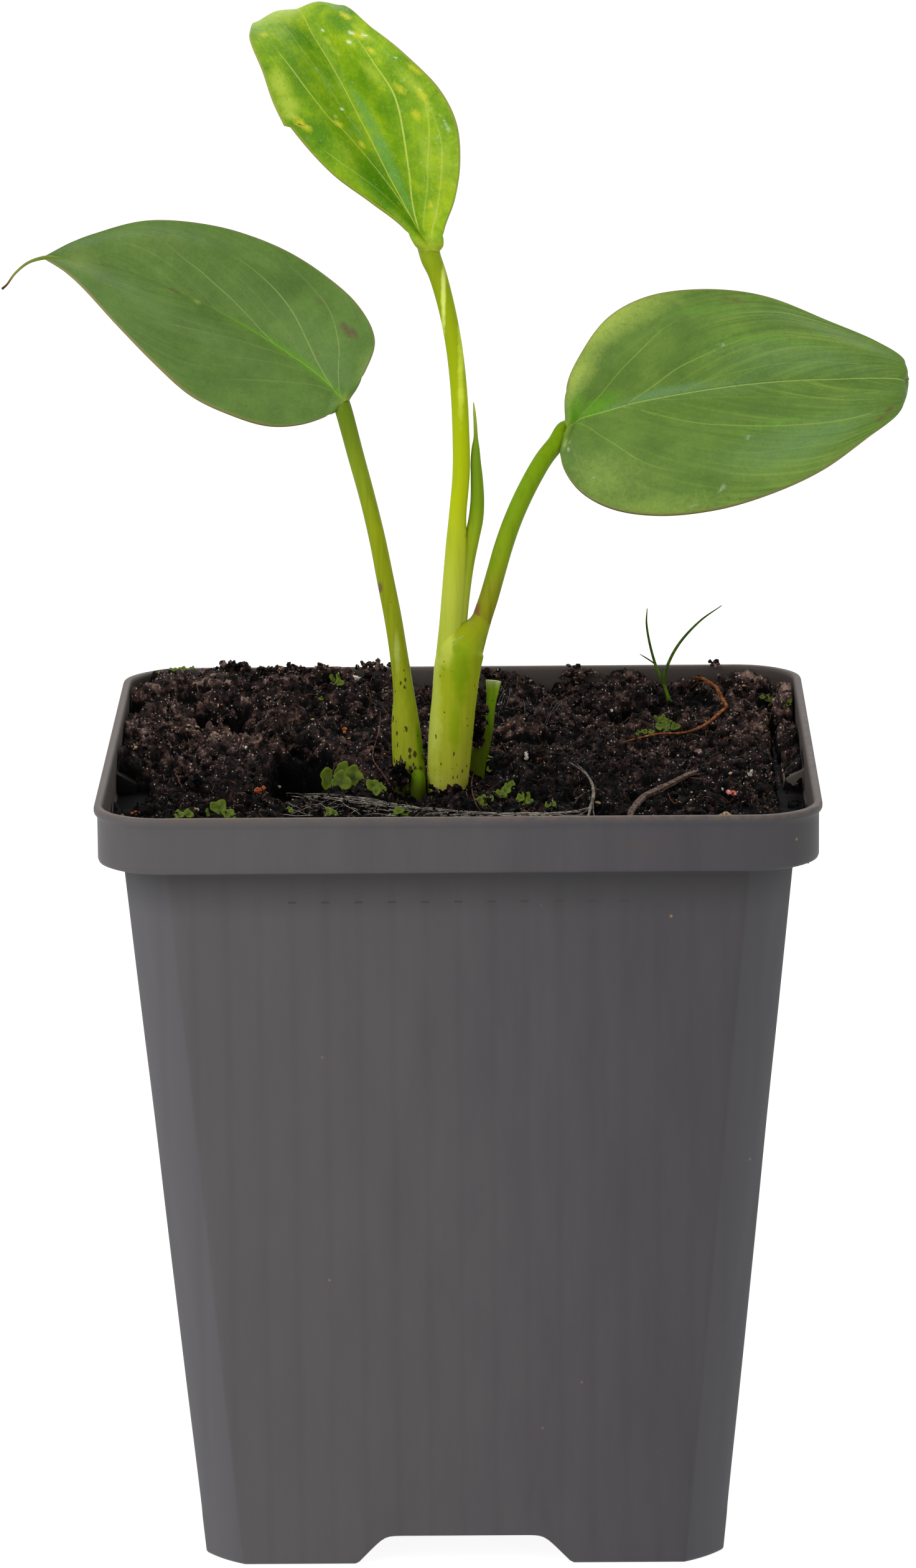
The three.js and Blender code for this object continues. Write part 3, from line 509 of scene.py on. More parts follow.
@dataclass(frozen=True)
class Finish:
    """A procedural material. Each finish adds its own colour, roughness and relief."""

    name: str

    def material(self) -> bpy.types.Material:
        """Makes the material the first time it is asked for.

        Returns:
            The material.
        """
        made = bpy.data.materials.get(self.name)
        if made is None:
            made = bpy.data.materials.new(self.name)
            made.use_nodes = True
            made.node_tree.nodes.clear()
            shader = self.shade(partial(self.node, made.node_tree))
            self.node(made.node_tree, "OutputMaterial", {"Surface": shader})
        return made

    def shade(self, n: Adder) -> Node:
        """Adds the finish's nodes.

        Args:
            n: adds a node to the material, as the method node does.

        Returns:
            The shader.
        """
        raise NotImplementedError

    @staticmethod
    def node(tree: bpy.types.NodeTree, kind: str, links: dict | None = None,
             stops: tuple = (), **settings: object) -> Node:
        """Adds a node.

        Args:
            tree: where it goes.
            kind: its type without "ShaderNode".
            links: socket name or number to a node, an output socket or a plain value.
            stops: for a colour ramp, pairs of position and sRGB hex colour or grey level.
            settings: the node's own properties.

        Returns:
            The node.
        """
        made = tree.nodes.new("ShaderNode" + kind)
        for key, value in settings.items():
            setattr(made, key, value)
        for key, value in (links or {}).items():
            socket = made.inputs[key]
            if isinstance(value, Node):
                value = value.outputs[0]
            if isinstance(value, Socket):
                tree.links.new(value, socket)
            else:
                socket.default_value = value
        for number, (position, colour) in enumerate(stops):
            ramp = made.color_ramp.elements
            element = ramp[number] if number < len(ramp) else ramp.new(position)
            element.position = position
            element.color = linear(colour) if isinstance(colour, str) else (colour,) * 3 + (1,)
        return made

    @staticmethod
    def coat(n: Adder, colour: Node, layers: list) -> Socket:
        """Lays colours over one another.

        Args:
            n: adds a node to the material.
            colour: what lies below them all.
            layers: from the bottom up: a value, where it starts and is full, how much of the colour
                it then lets through, a mask over it, and the colour in sRGB hex.

        Returns:
            The colour on top.
        """
        for value, low, high, most, mask, tone in layers:
            share = n("MapRange", {"Value": value, "From Min": low, "From Max": high, "To Max": most})
            share = n("Math", {0: share, 1: mask}, operation="MULTIPLY")
            mixed = n("Mix", {0: share, 6: colour, 7: linear(tone)}, data_type="RGBA")
            colour = mixed.outputs[2]
        return colour


@dataclass(frozen=True)
class PotPlastic(Finish):
    """Moulded polypropylene: charcoal, with a fine matt grain, potting dust and a soft, dull shine, and
    painted light and shade on it.
    """

    name: str = "moulded_polypropylene"
    dark: str = "#333134"
    light: str = "#3d3a3d"
    soil_and_shade: str = "#3b322b"
    gloss: float = 0.4
    flute_pitch: float = 4.1

    def shade(self, n: Adder) -> Node:
        """Mottled charcoal with painted light to the left and on the cut corners, painted shade to the right,
        under the band and in the flute grooves, moulded dashes, rubbed places, brown dirt on the lip and
        inside, and near black for soil and painted shade on the ledges.

        Args:
            n: adds a node to the material.

        Returns:
            The shader.
        """
        spot = n("TexCoord").outputs["Object"]
        inner = n("Attribute", attribute_name="inner").outputs["Fac"]
        chamfer = n("Attribute", attribute_name="chamfer").outputs["Fac"]
        grain = n("TexNoise", {"Vector": spot, "Scale": 2200.0, "Detail": 3.0})
        flow = n("Mapping", {"Vector": spot, "Scale": (260.0, 260.0, 34.0)})
        cloud = n("TexNoise", {"Vector": flow, "Scale": 1.0, "Detail": 7.0, "Roughness": 0.65})
        x, y, z = n("SeparateXYZ", {0: spot}).outputs
        colour = n("ValToRGB", {0: cloud}, stops=((0.34, self.dark), (0.66, self.light)))
        neck = n("Math", {0: z, 1: 0.09285}, operation="LESS_THAN")
        lane = n("Math", {0: x, 1: 0.5 * self.flute_pitch * MM}, operation="PINGPONG")
        dash = n("Math", {0: lane, 1: 0.5 * MM}, operation="LESS_THAN")
        for mask in (n("Math", {0: z, 1: 0.0885, 2: 0.00013}, operation="COMPARE"),
                     n("Math", {0: y, 1: -0.03}, operation="LESS_THAN"),
                     n("Math", {0: x, 1: 0.0, 2: 0.0222}, operation="COMPARE")):
            dash = n("Math", {0: dash, 1: mask}, operation="MULTIPLY")
        specks = n("TexNoise", {"Vector": spot, "Scale": 700.0, "Detail": 7.0, "Roughness": 0.75})
        rubbed = n("Mapping", {"Vector": spot, "Location": (0.026, -0.0446, 0.0962),
                               "Scale": (0.0075, 0.004, 0.0012)}, vector_type="TEXTURE")
        rubbed = n("VectorMath", {0: rubbed}, operation="LENGTH").outputs[1]
        brown = n("MapRange", {"Value": specks, "From Min": 0.55, "From Max": 0.62, "To Max": 0.8})
        crust = n("MapRange", {"Value": specks, "From Min": 0.4, "From Max": 0.6, "To Min": 0.15,
                               "To Max": 0.85})
        drops = n("TexVoronoi", {"Vector": spot, "Scale": 190.0})
        pick = n("MapRange", {"Value": n("SeparateColor", {0: drops.outputs["Color"]}),
                              "From Min": 0.6, "From Max": 1.0})
        caked = n("MapRange", {"Value": specks, "From Min": 0.35, "From Max": 0.65, "To Min": 0.55})
        caked = n("Math", {0: inner, 1: caked}, operation="MULTIPLY")
        colour = self.coat(n, colour, [
            (x, 0.03, -0.046, 0.5, 1.0, "#545150"),       # painted light: lighter to the left
            (chamfer, 0.0, 1.0, 0.28, 1.0, "#4b4b53"),    # painted light: lighter and bluer on the cut corners
            (x, 0.0, 0.046, 0.5, 1.0, "#2a2829"),         # painted shade: darker to the right
            (z, 0.0865, 0.0925, 0.6, neck, "#171515"),    # painted shade under the band
            (lane, 0.0008, 0.0001, 0.1, neck, "#242222"),  # painted shade in the flute grooves
            (dash, 0.0, 1.0, 1.0, 1.0, "#2b2a2a"),        # the moulded dashes
            (rubbed, 1.0, 0.3, 1.0, brown, "#4a3226"),    # rubbed on the band
            (z, 0.09935, 0.09985, 1.0, crust, "#55463b"),  # dust on the lip
            (drops, 0.05, 0.02, 1.0, pick, "#7d6148"),    # dried drops
            (caked, 0.0, 1.0, 1.0, 1.0, self.soil_and_shade),     # soil inside, and near black on the ledges for soil and painted shade
        ])
        rough = n("MapRange", {"Value": cloud, "To Min": 0.5, "To Max": 0.68})
        relief = n("Bump", {"Height": grain, "Strength": 0.25, "Distance": 0.00006})
        return n("BsdfPrincipled", {"Base Color": colour, "Roughness": rough, "Normal": relief,
                                    "IOR": 1.49, "Specular IOR Level": self.gloss})


@dataclass(frozen=True)
class Peat(Finish):
    """Damp milled peat: nearly black brown, with painted shade where it is sunk, painted light on its crests
    and painted highlights on some grains.
    """

    name: str = "damp_peat"
    stops: tuple = ((0.3, "#020202"), (0.48, "#0f0a0a"), (0.6, "#261c1a"), (0.73, "#493733"),
                    (0.92, "#917a6d"))
    painted_glint: str = "#c9bdb2"
    painted_shade: str = "#020101"
    roughness: float = 0.6

    def shade(self, n: Adder) -> Node:
        """Crumbs tinted one by one, painted shade where the surface is sunk, painted light on its crests and
        painted highlights on some grains.

        Args:
            n: adds a node to the material.

        Returns:
            The shader.
        """
        spot = n("TexCoord").outputs["Object"]
        tint = n("Attribute", attribute_name="tint").outputs["Fac"]
        sunk = n("Attribute", attribute_name="sunk").outputs["Fac"]
        coarse = n("TexNoise", {"Vector": spot, "Scale": 620.0, "Detail": 7.0, "Roughness": 0.72})
        level = coarse
        # Crests, where sunk is below 0, come out lighter: painted light.
        for value, factor in ((tint, 0.2), (sunk, -0.15)):
            level = n("Math", {0: value, 1: factor, 2: level}, operation="MULTIPLY_ADD")
        level = n("Math", {0: level, 1: 1.5, 2: -0.365}, operation="MULTIPLY_ADD")
        colour = n("ValToRGB", {0: level}, stops=self.stops)
        cells = n("TexVoronoi", {"Vector": spot, "Scale": 2300.0})
        pick = n("SeparateColor", {0: cells.outputs["Color"]})
        chosen = n("MapRange", {"Value": pick, "From Min": 0.6, "From Max": 0.95})
        clump = n("MapRange", {"Value": level, "From Min": 0.36, "From Max": 0.56})
        mask = n("Math", {0: chosen, 1: clump}, operation="MULTIPLY")
        # Pale dots on some grains of the lighter clumps are painted highlights; near black where the surface
        # is sunk is painted shade.
        colour = self.coat(n, colour, [(cells, 0.3, 0.16, 1.0, mask, self.painted_glint),
                                       (sunk, 0.0, 1.0, 0.97, 1.0, self.painted_shade)])
        fine = n("TexNoise", {"Vector": spot, "Scale": 2400.0, "Detail": 4.0, "Roughness": 0.7})
        relief = n("Bump", {"Height": fine, "Strength": 0.9, "Distance": 0.0003})
        return n("BsdfPrincipled", {"Base Color": colour, "Roughness": self.roughness,
                                    "Normal": relief, "Specular IOR Level": 0.035})


@dataclass(frozen=True)
class Litter(Finish):
    """Dull natural litter in blotches from dark to light, which also shift with one of its attributes."""

    dark: str = "#4a3a2c"
    light: str = "#8d7f6c"
    scale: float = 900.0
    unevenness: float = 0.65
    ends: tuple = (0.3, 0.7)
    shift: tuple = ("tint", 0.5, 0.0)  # the attribute, its middle and how much it counts
    relief: tuple = (0.6, 0.2)  # strength, and depth in mm
    roughness: float = 0.8
    gloss: float = 0.1

    def shade(self, n: Adder) -> Node:
        """Blotches from dark to light.

        Args:
            n: adds a node to the material.

        Returns:
            The shader.
        """
        name, middle, factor = self.shift
        spot = n("TexCoord").outputs["Object"]
        blot = n("TexNoise", {"Vector": spot, "Scale": self.scale, "Detail": 5.0,
                              "Roughness": self.unevenness})
        tint = n("Attribute", attribute_name=name).outputs["Fac"]
        tint = n("Math", {0: tint, 1: -middle}, operation="ADD")
        both = n("Math", {0: tint, 1: factor, 2: blot}, operation="MULTIPLY_ADD")
        colour = n("ValToRGB", {0: both}, stops=tuple(zip(self.ends, (self.dark, self.light))))
        relief = n("Bump", {"Height": blot, "Strength": self.relief[0], "Distance": self.relief[1] * MM})
        return n("BsdfPrincipled", {"Base Color": colour, "Roughness": self.roughness,
                                    "Normal": relief, "Specular IOR Level": self.gloss})


@dataclass(frozen=True)
class Mineral(Litter):
    """Small dull stone, clay or perlite grain, or a shred of dry leaf, in one blotchy colour."""

    scale: float = 1700.0
    ends: tuple = (0.38, 0.62)
    roughness: float = 0.75
    gloss: float = 0.2


@dataclass(frozen=True)
class Moss(Litter):
    """Liverwort: thin translucent green lobes, darker and browner towards their roots."""

    name: str = "liverwort_skin"
    dark: str = "#202b05"
    light: str = "#56680f"
    scale: float = 1300.0
    unevenness: float = 0.7
    ends: tuple = (0.42, 0.95)
    shift: tuple = ("reach", 0.0, 0.4)
    roughness: float = 0.5
    gloss: float = 0.12


@dataclass(frozen=True)
class Fibre(Litter):
    """Dry plant fibre: dull, in blotches from dark to light, each strand shifted by its own tint."""

    shift: tuple = ("tint", 0.5, 0.3)
    relief: tuple = (0.5, 0.15)


@dataclass(frozen=True)
class Leaf(Finish):
    """A living leaf: waxy skin over green cells, paler veins sunk in it, marks of age, on the young leaf
    painted highlights and reflections, a thin dry margin.
    """

    name: str = "leaf_skin"
    deep: str = "#435e22"
    mid: str = "#4f6c2a"
    bright: str = "#5d7a34"
    vein: str = "#7e934b"
    rib: str = "#738e33"
    margin: str = "#7d7442"
    neck: str = "#7a8e2a"
    marks: tuple = (("lush", "#507e13", 1.5), ("pale", "#778942", 0.7), ("scar", "#594536", 1.3))
    roughness: float = 0.5
    gloss: float = 0.3
    rib_width: float = 0.12
    rib_reach: float = 0.65
    streak: float = 0.25
    mottle: float = 130.0
    spread: float = 0.2

    def shade(self, n: Adder) -> Node:
        """Mottled green with veins, midrib and marks read from the leaf's own attributes.

        Args:
            n: adds a node to the material.

        Returns:
            The shader.
        """
        names = ["flow", "along", "vein", "vein_width", "vein_strength", "rib", "neck", "side"]
        own = {name: n("Attribute", attribute_name=name).outputs["Fac"]
               for name in names + [mark[0] for mark in self.marks]}
        away = {name: n("Math", {0: own[name]}, operation="ABSOLUTE") for name in ("vein", "rib", "side")}
        spot = n("TexCoord").outputs["Object"]
        cloud = n("TexNoise", {"Vector": spot, "Scale": self.mottle, "Detail": 8.0, "Roughness": 0.7})
        colour = n("ValToRGB", {0: cloud}, stops=((0.5 - self.spread, self.deep), (0.5, self.mid),
                                                  (0.5 + self.spread, self.bright)))
        drawn = n("CombineXYZ", {0: own["flow"], 1: own["along"]})
        lines = n("TexNoise", {"Vector": drawn, "Scale": 3.0, "Detail": 4.0, "Roughness": 0.6})
        outer = n("MapRange", {"Value": own["along"], "From Min": 0.16, "From Max": 0.5})
        layers = [(lines, 0.49, 0.37, self.streak, outer, self.deep),
                  (lines, 0.54, 0.7, 0.6 * self.streak, outer, self.vein)]
        frayed = n("TexNoise", {"Vector": spot, "Scale": 1100.0, "Detail": 6.0, "Roughness": 0.8})
        frayed = n("Math", {0: frayed, 1: -0.5}, operation="ADD")
        for name, tone, fray in self.marks:
            torn = n("Math", {0: frayed, 1: fray, 2: own[name]}, operation="MULTIPLY_ADD")
            layers.append((torn, 0.15, 0.9, 1.0, 1.0, tone))
        ratio = n("Math", {0: away["vein"], 1: own["vein_width"]}, operation="DIVIDE")
        vein = n("MapRange", {"Value": ratio, "From Min": 1.0, "From Max": 0.35})
        vein = n("Math", {0: vein, 1: own["vein_strength"]}, operation="MULTIPLY")
        end = 0.8 * self.rib_reach
        ends = n("MapRange", {"Value": own["along"], "From Min": end, "From Max": end - 0.25})
        cells = n("TexNoise", {"Vector": spot, "Scale": 2600.0, "Detail": 3.0, "Roughness": 0.6})
        colour = self.coat(n, colour, layers + [
            (vein, 0.0, 1.0, 1.0, 1.0, self.vein),
            (away["rib"], self.rib_width, 0.4 * self.rib_width, 0.85, ends, self.rib),
            (own["neck"], 0.0, 1.0, 1.0, 1.0, self.neck),
            (away["side"], 0.978, 1.0, 0.8, 1.0, self.margin),
            (cells, 0.56, 0.72, 0.4, 1.0, self.bright),
            (cells, 0.44, 0.3, 0.4, 1.0, self.deep),
        ])
        heights = n("Math", {0: vein, 1: -0.5, 2: cells}, operation="MULTIPLY_ADD")
        raised = n("Math", {0: lines, 1: outer}, operation="MULTIPLY")
        heights = n("Math", {0: raised, 1: 2.2, 2: heights}, operation="MULTIPLY_ADD")
        relief = n("Bump", {"Height": heights, "Strength": 0.5, "Distance": 0.00012})
        rough = n("MapRange", {"Value": cloud, "From Min": 0.3, "From Max": 0.7,
                               "To Min": self.roughness - 0.07, "To Max": self.roughness + 0.1})
        return n("BsdfPrincipled", {"Base Color": colour, "Roughness": rough, "Normal": relief,
                                    "IOR": 1.42, "Specular IOR Level": self.gloss})


@dataclass(frozen=True)
class Stem(Finish):
    """Fleshy leaf stalk: long pale and green streaks under a waxy skin."""

    name: str = "stalk_skin"
    stops: tuple = ((95.0, "#a0ab1b"), (160.0, "#869917"))
    streak: str = "#6f8410"
    share: float = 0.4
    spots: tuple = ()
    soil: str = "#33251a"
    soil_line: float = 96.0
    dirt: float = 0.34
    roughness: float = 0.42
    gloss: float = 0.06

    def shade(self, n: Adder) -> Node:
        """Colours by height in mm, streaks that run up the stalk, and dirt low down.

        Args:
            n: adds a node to the material.

        Returns:
            The shader.
        """
        low, high = 80, 200
        spot = n("TexCoord").outputs["Object"]
        height = n("SeparateXYZ", {0: spot}).outputs[2]
        level = n("MapRange", {"Value": height, "From Min": low * MM, "From Max": high * MM})
        stops = tuple(((z - low) / (high - low), colour) for z, colour in self.stops)
        colour = n("ValToRGB", {0: level}, stops=stops)
        drawn = n("Mapping", {"Vector": spot, "Scale": (1500.0, 1500.0, 70.0)})
        streaks = n("TexNoise", {"Vector": drawn, "Scale": 1.0, "Detail": 5.0, "Roughness": 0.6})
        layers = [(streaks, 0.48, 0.7, self.share, 1.0, self.streak)]
        patchy = n("TexNoise", {"Vector": spot, "Scale": 380.0, "Detail": 6.0, "Roughness": 0.65})
        for middle, radii, tone in self.spots:
            far = n("Mapping", {"Vector": spot, "Location": tuple(v * MM for v in middle),
                                "Scale": tuple(r * MM for r in radii)}, vector_type="TEXTURE")
            far = n("VectorMath", {0: far}, operation="LENGTH").outputs[1]
            far = n("Math", {0: patchy, 1: -1.6, 2: far}, operation="MULTIPLY_ADD")
            layers.append((far, 0.3, -0.3, 1.0, 1.0, tone))
        warp = n("TexNoise", {"Vector": spot, "Scale": 1900.0, "Detail": 3.0}).outputs[1]
        cells = n("Mapping", {"Vector": spot, "Scale": (1800.0, 1800.0, 900.0)})
        cells = n("VectorMath", {0: warp, 1: (0.55, 0.55, 0.55), 2: cells}, operation="MULTIPLY_ADD")
        cells = n("TexVoronoi", {"Vector": cells, "Scale": 1.0})
        pick = n("SeparateColor", {0: cells.outputs["Color"]})
        pick = n("MapRange", {"Value": pick, "From Min": 0.4, "From Max": 1.0})
        size = n("MapRange", {"Value": height, "From Min": self.soil_line * MM,
                              "From Max": (self.soil_line + 24) * MM,
                              "To Min": self.dirt, "To Max": 0.06})
        size = n("Math", {0: pick, 1: size}, operation="MULTIPLY")
        fleck = n("Math", {0: cells, 1: size}, operation="SUBTRACT")
        layers.append((fleck, 0.02, -0.03, 0.9, 1.0, self.soil))
        colour = self.coat(n, colour, layers)
        relief = n("Bump", {"Height": streaks, "Strength": 0.35, "Distance": 0.00012})
        return n("BsdfPrincipled", {"Base Color": colour, "Roughness": self.roughness,
                                    "Normal": relief, "IOR": 1.42, "Specular IOR Level": self.gloss})


@dataclass(frozen=True)
class Studio(Finish):
    """Matt white studio floor that glows a little, so that it stays an even white round the pot."""

    name: str = "studio_floor"

    def shade(self, n: Adder) -> Node:
        """Nearly white, with the faintest unevenness.

        Args:
            n: adds a node to the material.

        Returns:
            The shader.
        """
        spot = n("TexCoord").outputs["Object"]
        cloud = n("TexNoise", {"Vector": spot, "Scale": 3.0})
        colour = n("ValToRGB", {0: cloud}, stops=((0.3, "#f4f4f4"), (0.7, "#f7f7f7")))
        return n("BsdfPrincipled", {"Base Color": (0.2, 0.2, 0.2, 1.0), "Roughness": 1.0,
                                    "Specular IOR Level": 0.0, "Emission Color": colour,
                                    "Emission Strength": 1.0})


# ---- publishing

def link(bm: BMesh, name: str, finish: Finish) -> bpy.types.Object:
    """Turns a bmesh into an object of the scene.

    Args:
        bm: the shape, in metres; it is freed.
        name: the object's name.
        finish: its finish.

    Returns:
        The object.
    """
    mesh = bpy.data.meshes.new(name)
    bm.to_mesh(mesh)
    bm.free()
    mesh.materials.append(finish.material())
    made = bpy.data.objects.new(name, mesh)
    bpy.context.scene.collection.objects.link(made)
    return made


def publish(bm: BMesh, name: str, finish: Finish, replaces: tuple = (),
            smooth: bool = True) -> bpy.types.Object:
    """Turns a bmesh into a finished piece that rides on the plant.

    Args:
        bm: the shape, in metres; it is freed.
        name: the piece's name.
        finish: its finish.
        replaces: the frame's nodes that it stands for.
        smooth: whether its faces are shaded smooth.

    Returns:
        The piece.
    """
    piece = link(bm, name, finish)
    if smooth:
        piece.data.shade_smooth()
    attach(piece, "root")
    if replaces:
        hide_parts(*replaces)
    LOG.info("%s: %d faces", name, len(piece.data.polygons))
    return piece


# ---- pot

@dataclass
class Pot:
    """Square tapered nursery pot: four feet, a cross channel, a rim band with a lip, and ledges inside."""

    height: float = 100.0
    band_height: float = 7.2
    base_half: float = 32.9
    neck_half: float = 41.5
    band_half: float = 44.6
    lip_half: float = 45.0
    base_corner: float = 5.0
    neck_corner: float = 5.8
    rim_corner: float = 8.5
    bevel: float = 0.72
    channel_height: float = 3.7
    channel_top: float = 10.1
    channel_foot: float = 13.6
    flute_pitch: float = 4.1
    flute_depth: float = 0.05
    foot_height: float = 8.0
    panel: tuple = (13.8, 93.2, 98.7, 0.1)  # sunk field on the band: half width, bottom, top and depth
    inner_row: float = 58.5  # where the section's inside begins
    side_cells: int = 100
    corner_cells: int = 16
    ledge_size: tuple = (2.7, 9.6, 3.4)
    ledge_middle: tuple = (42.65, 0.0, 95.1)
    ledge_slope: float = 1.4
    ledge_bevel: float = 0.2
    finish: PotPlastic = PotPlastic()
    # Ledge plastic: a light base, which is painted light, and a near-black soil colour, which is soil with
    # painted shade.
    soil_and_shade: PotPlastic = PotPlastic("ledge_plastic_painted_light_and_shade", "#5a5148", "#6b6158", "#120e0c", 0.06)
    inside: Array | None = None
    chamfer: Array | None = None

    def body(self, z: float, inset: float = 0.0) -> tuple:
        """Sizes of the body at one height.

        Args:
            z: the height.
            inset: how far inside the outer face, which alone has flutes.

        Returns:
            Height, half width, corner, bevel and flute strength.
        """
        share = z / (self.height - self.band_height)
        half = self.base_half + (self.neck_half - self.base_half) * share
        corner = self.base_corner + (self.neck_corner - self.base_corner) * share
        return (z, half - inset, corner - 0.5 * inset, self.bevel, 1.0 if inset == 0 else 0.0)

    def profile(self) -> list[tuple]:
        """The pot's section, from under its middle, out, up over the rim and down to the middle inside.

        Returns:
            Rows of height, half width, corner, bevel and flute strength.
        """
        top, foot = self.height, self.height - self.band_height
        band, lip, corner = self.band_half, self.lip_half, self.rim_corner
        rows = [(0, 0, 0, 0, 0), (0, 8, 2, 0.5, 0), (0, 16, 4, 0.5, 0),
                (0, 24, 4.4, 0.6, 0), self.body(0, 2), self.body(0, 0.5), self.body(0.12, 0.15),
                self.body(0.4)]
        rows += [self.body(z) for z in np.linspace(0.8, 8, 14)]
        rows += [self.body(z) for z in np.linspace(12, foot - 3, 16)]
        rows += [self.body(foot - 1), self.body(foot - 0.25), self.body(foot, -0.25)]
        rows += [(foot + 0.02, 42.6, corner - 1.6, 0.3, 0), (foot + 0.05, band - 0.5, corner - 0.4, 0, 0),
                 (foot + 0.2, band - 0.12, corner, 0, 0), (foot + 0.55, band, corner, 0, 0)]
        rows += [(z, band, corner, 0, 0) for z in np.linspace(foot + 1.5, top - 1.6, 7)]
        rows += [(top - 1.25, band + 0.06, corner, 0, 0), (top - 0.95, lip - 0.1, corner, 0, 0),
                 (top - 0.7, lip, corner, 0, 0), (top - 0.3, lip, corner, 0, 0),
                 (top - 0.08, lip - 0.1, corner, 0, 0), (top, lip - 0.3, corner, 0, 0),
                 (top, band - 0.35, corner - 0.4, 0, 0),
                 (top - 0.1, band - 0.55, corner - 0.5, 0, 0),
                 (top - 0.5, band - 0.67, corner - 0.6, 0, 0)]
        rows += [(z, band - 0.7, corner - 0.7, 0, 0) for z in np.linspace(top - 1.5, foot + 1.3, 6)]
        rows += [(foot + 1.05, band - 1.25, corner - 1.2, 0, 0), (foot + 1, band - 2, corner - 1.5, 0.2, 0)]
        rows += [self.body(foot + 0.8, 1), self.body(foot, 1)]
        rows += [self.body(z, 1) for z in np.linspace(foot - 6, 8, 10)]
        rows += [self.body(z, 1) for z in np.linspace(6, 1.5, 6)]
        rows += [(1, 31.2, 4.5, self.bevel, 0), (1, 24, 4.4, 0.6, 0), (1, 16, 4, 0.5, 0),
                 (1, 8, 2, 0.5, 0), (1, 0, 0, 0, 0)]
        return rows

    def ring(self, turn: Array, half: Array, corner: Array, bevel: Array) -> Array:
        """Places on a square with rounded or chamfered corners.

        Args:
            turn: from 0 to 1, once round.
            half: half widths.
            corner: corner radii.
            bevel: 0 for round corners, 1 for flat ones.

        Returns:
            Rows of x and y.
        """
        cells = self.side_cells + self.corner_cells
        place = np.mod(turn * 4, 4)
        quarter = np.floor(place + 1e-9)
        step = (place - quarter) * cells
        straight = np.clip(step / self.side_cells, 0, 1) * 2 - 1
        angle = np.clip((step - self.side_cells) / self.corner_cells, 0, 1)
        flat_x, flat_y = 1 - angle, angle
        round_x, round_y = np.cos(angle * np.pi / 2), np.sin(angle * np.pi / 2)
        x = half - corner + corner * (round_x * (1 - bevel) + flat_x * bevel)
        y = (half - corner) * straight + corner * (round_y * (1 - bevel) + flat_y * bevel)
        spin = quarter * np.pi / 2 - np.pi / 2
        return np.stack([x * np.cos(spin) - y * np.sin(spin), x * np.sin(spin) + y * np.cos(spin)], 1)

    def channel(self, x: Array, y: Array) -> Array:
        """How far the cross channel lifts the pot's foot.

        Args:
            x: places across.
            y: places in depth.

        Returns:
            The lift at each place.
        """
        slope, sharp = self.channel_height / (self.channel_foot - self.channel_top), 2.2
        lifts = []
        for along in (x, y):
            raw = (self.channel_foot - np.abs(along)) * slope
            soft = self.channel_height - np.logaddexp(0, sharp * (self.channel_height - raw)) / sharp
            lifts.append(np.clip(soft, 0, self.channel_height))
        return np.maximum(*lifts)

    def place(self, u: Array, v: Array) -> Array:
        """Bends the flat grid into the pot, and notes which vertices are inside or on a cut corner.

        Args:
            u: from 0 to 1, once round.
            v: from 0 to 1, along the section.

        Returns:
            Rows of x, y and z.
        """
        rows = np.array(self.profile())
        self.inside = np.clip(v * (len(rows) - 1) - self.inner_row, 0, 1)
        z, half, corner, bevel, flutes = rows[np.round(v * (len(rows) - 1)).astype(int)].T
        xy = self.ring(u, half, corner, bevel)
        along = np.where(np.abs(xy[:, 0]) > np.abs(xy[:, 1]), xy[:, 1], xy[:, 0])
        wave = 0.5 + 0.5 * np.cos(2 * np.pi * along / self.flute_pitch)
        fade = smoothstep(z, 4.5, 6.5) * (1 - smoothstep(z, 86, 87.5)) * flutes
        wide, bottom, top, depth = self.panel
        banded = (half > self.band_half - 0.01) & (z < top) & (z > bottom)
        panel = depth * (1 - smoothstep(np.abs(along), wide, wide + 1)) * banded
        shrink = 1 - (self.flute_depth * wave ** 3 * fade + panel) / np.maximum(half, 1)
        edge = half - corner
        self.chamfer = (np.abs(xy) > edge[:, None] + 0.1).all(axis=1) * (bevel > 0.5)
        lift = self.channel(xy[:, 0], xy[:, 1])
        z = np.where(z < self.foot_height, lift + z * (self.foot_height - lift) / self.foot_height, z)
        return np.stack([xy[:, 0] * shrink, xy[:, 1] * shrink, z], 1)

    def ledges(self) -> BMesh:
        """The four ledges inside the rim that nested pots stand on, each with its inner end sloped.

        Returns:
            The ledges.
        """
        bm = bmesh.new()
        middle = Vector(self.ledge_middle)
        shape = Matrix.Translation(middle * MM) @ Matrix.Diagonal((*self.ledge_size, 1))
        for quarter in range(4):
            turn = Matrix.Rotation(quarter * math.pi / 2, 3, "Z")
            made = bmesh.ops.create_cube(bm, size=MM, matrix=shape)["verts"]
            sloped = [vert for vert in made if vert.co.x < middle.x * MM and vert.co.z > middle.z * MM]
            bmesh.ops.translate(bm, verts=sloped, vec=(0, 0, -self.ledge_slope * MM))
            bmesh.ops.rotate(bm, verts=made, cent=(0, 0, 0), matrix=turn)
        bmesh.ops.bevel(bm, geom=bm.edges[:], offset=self.ledge_bevel * MM, segments=2, profile=0.5,
                        material=-1, affect="EDGES")
        return bm

    def build(self) -> None:
        """Builds the pot and its ledges."""
        around = 4 * (self.side_cells + self.corner_cells)
        shell = sheet(around, len(self.profile()) - 1, self.place)
        paint(shell, "inner", self.inside)
        paint(shell, "chamfer", self.chamfer)
        shell = close(shell)
        publish(shell, "pot_shell", self.finish, ("pot",))
        ledges = self.ledges()
        # The ledge on the right keeps its light base, which is painted light as it lies in shade, with a
        # little dust; the others are near black, for the soil on them and painted shade.
        paint(ledges, "inner", [0.1 if vert.co.x > 40 * MM else 1.8 for vert in ledges.verts])
        publish(ledges, "pot_ledges", self.soil_and_shade)


# ---- soil

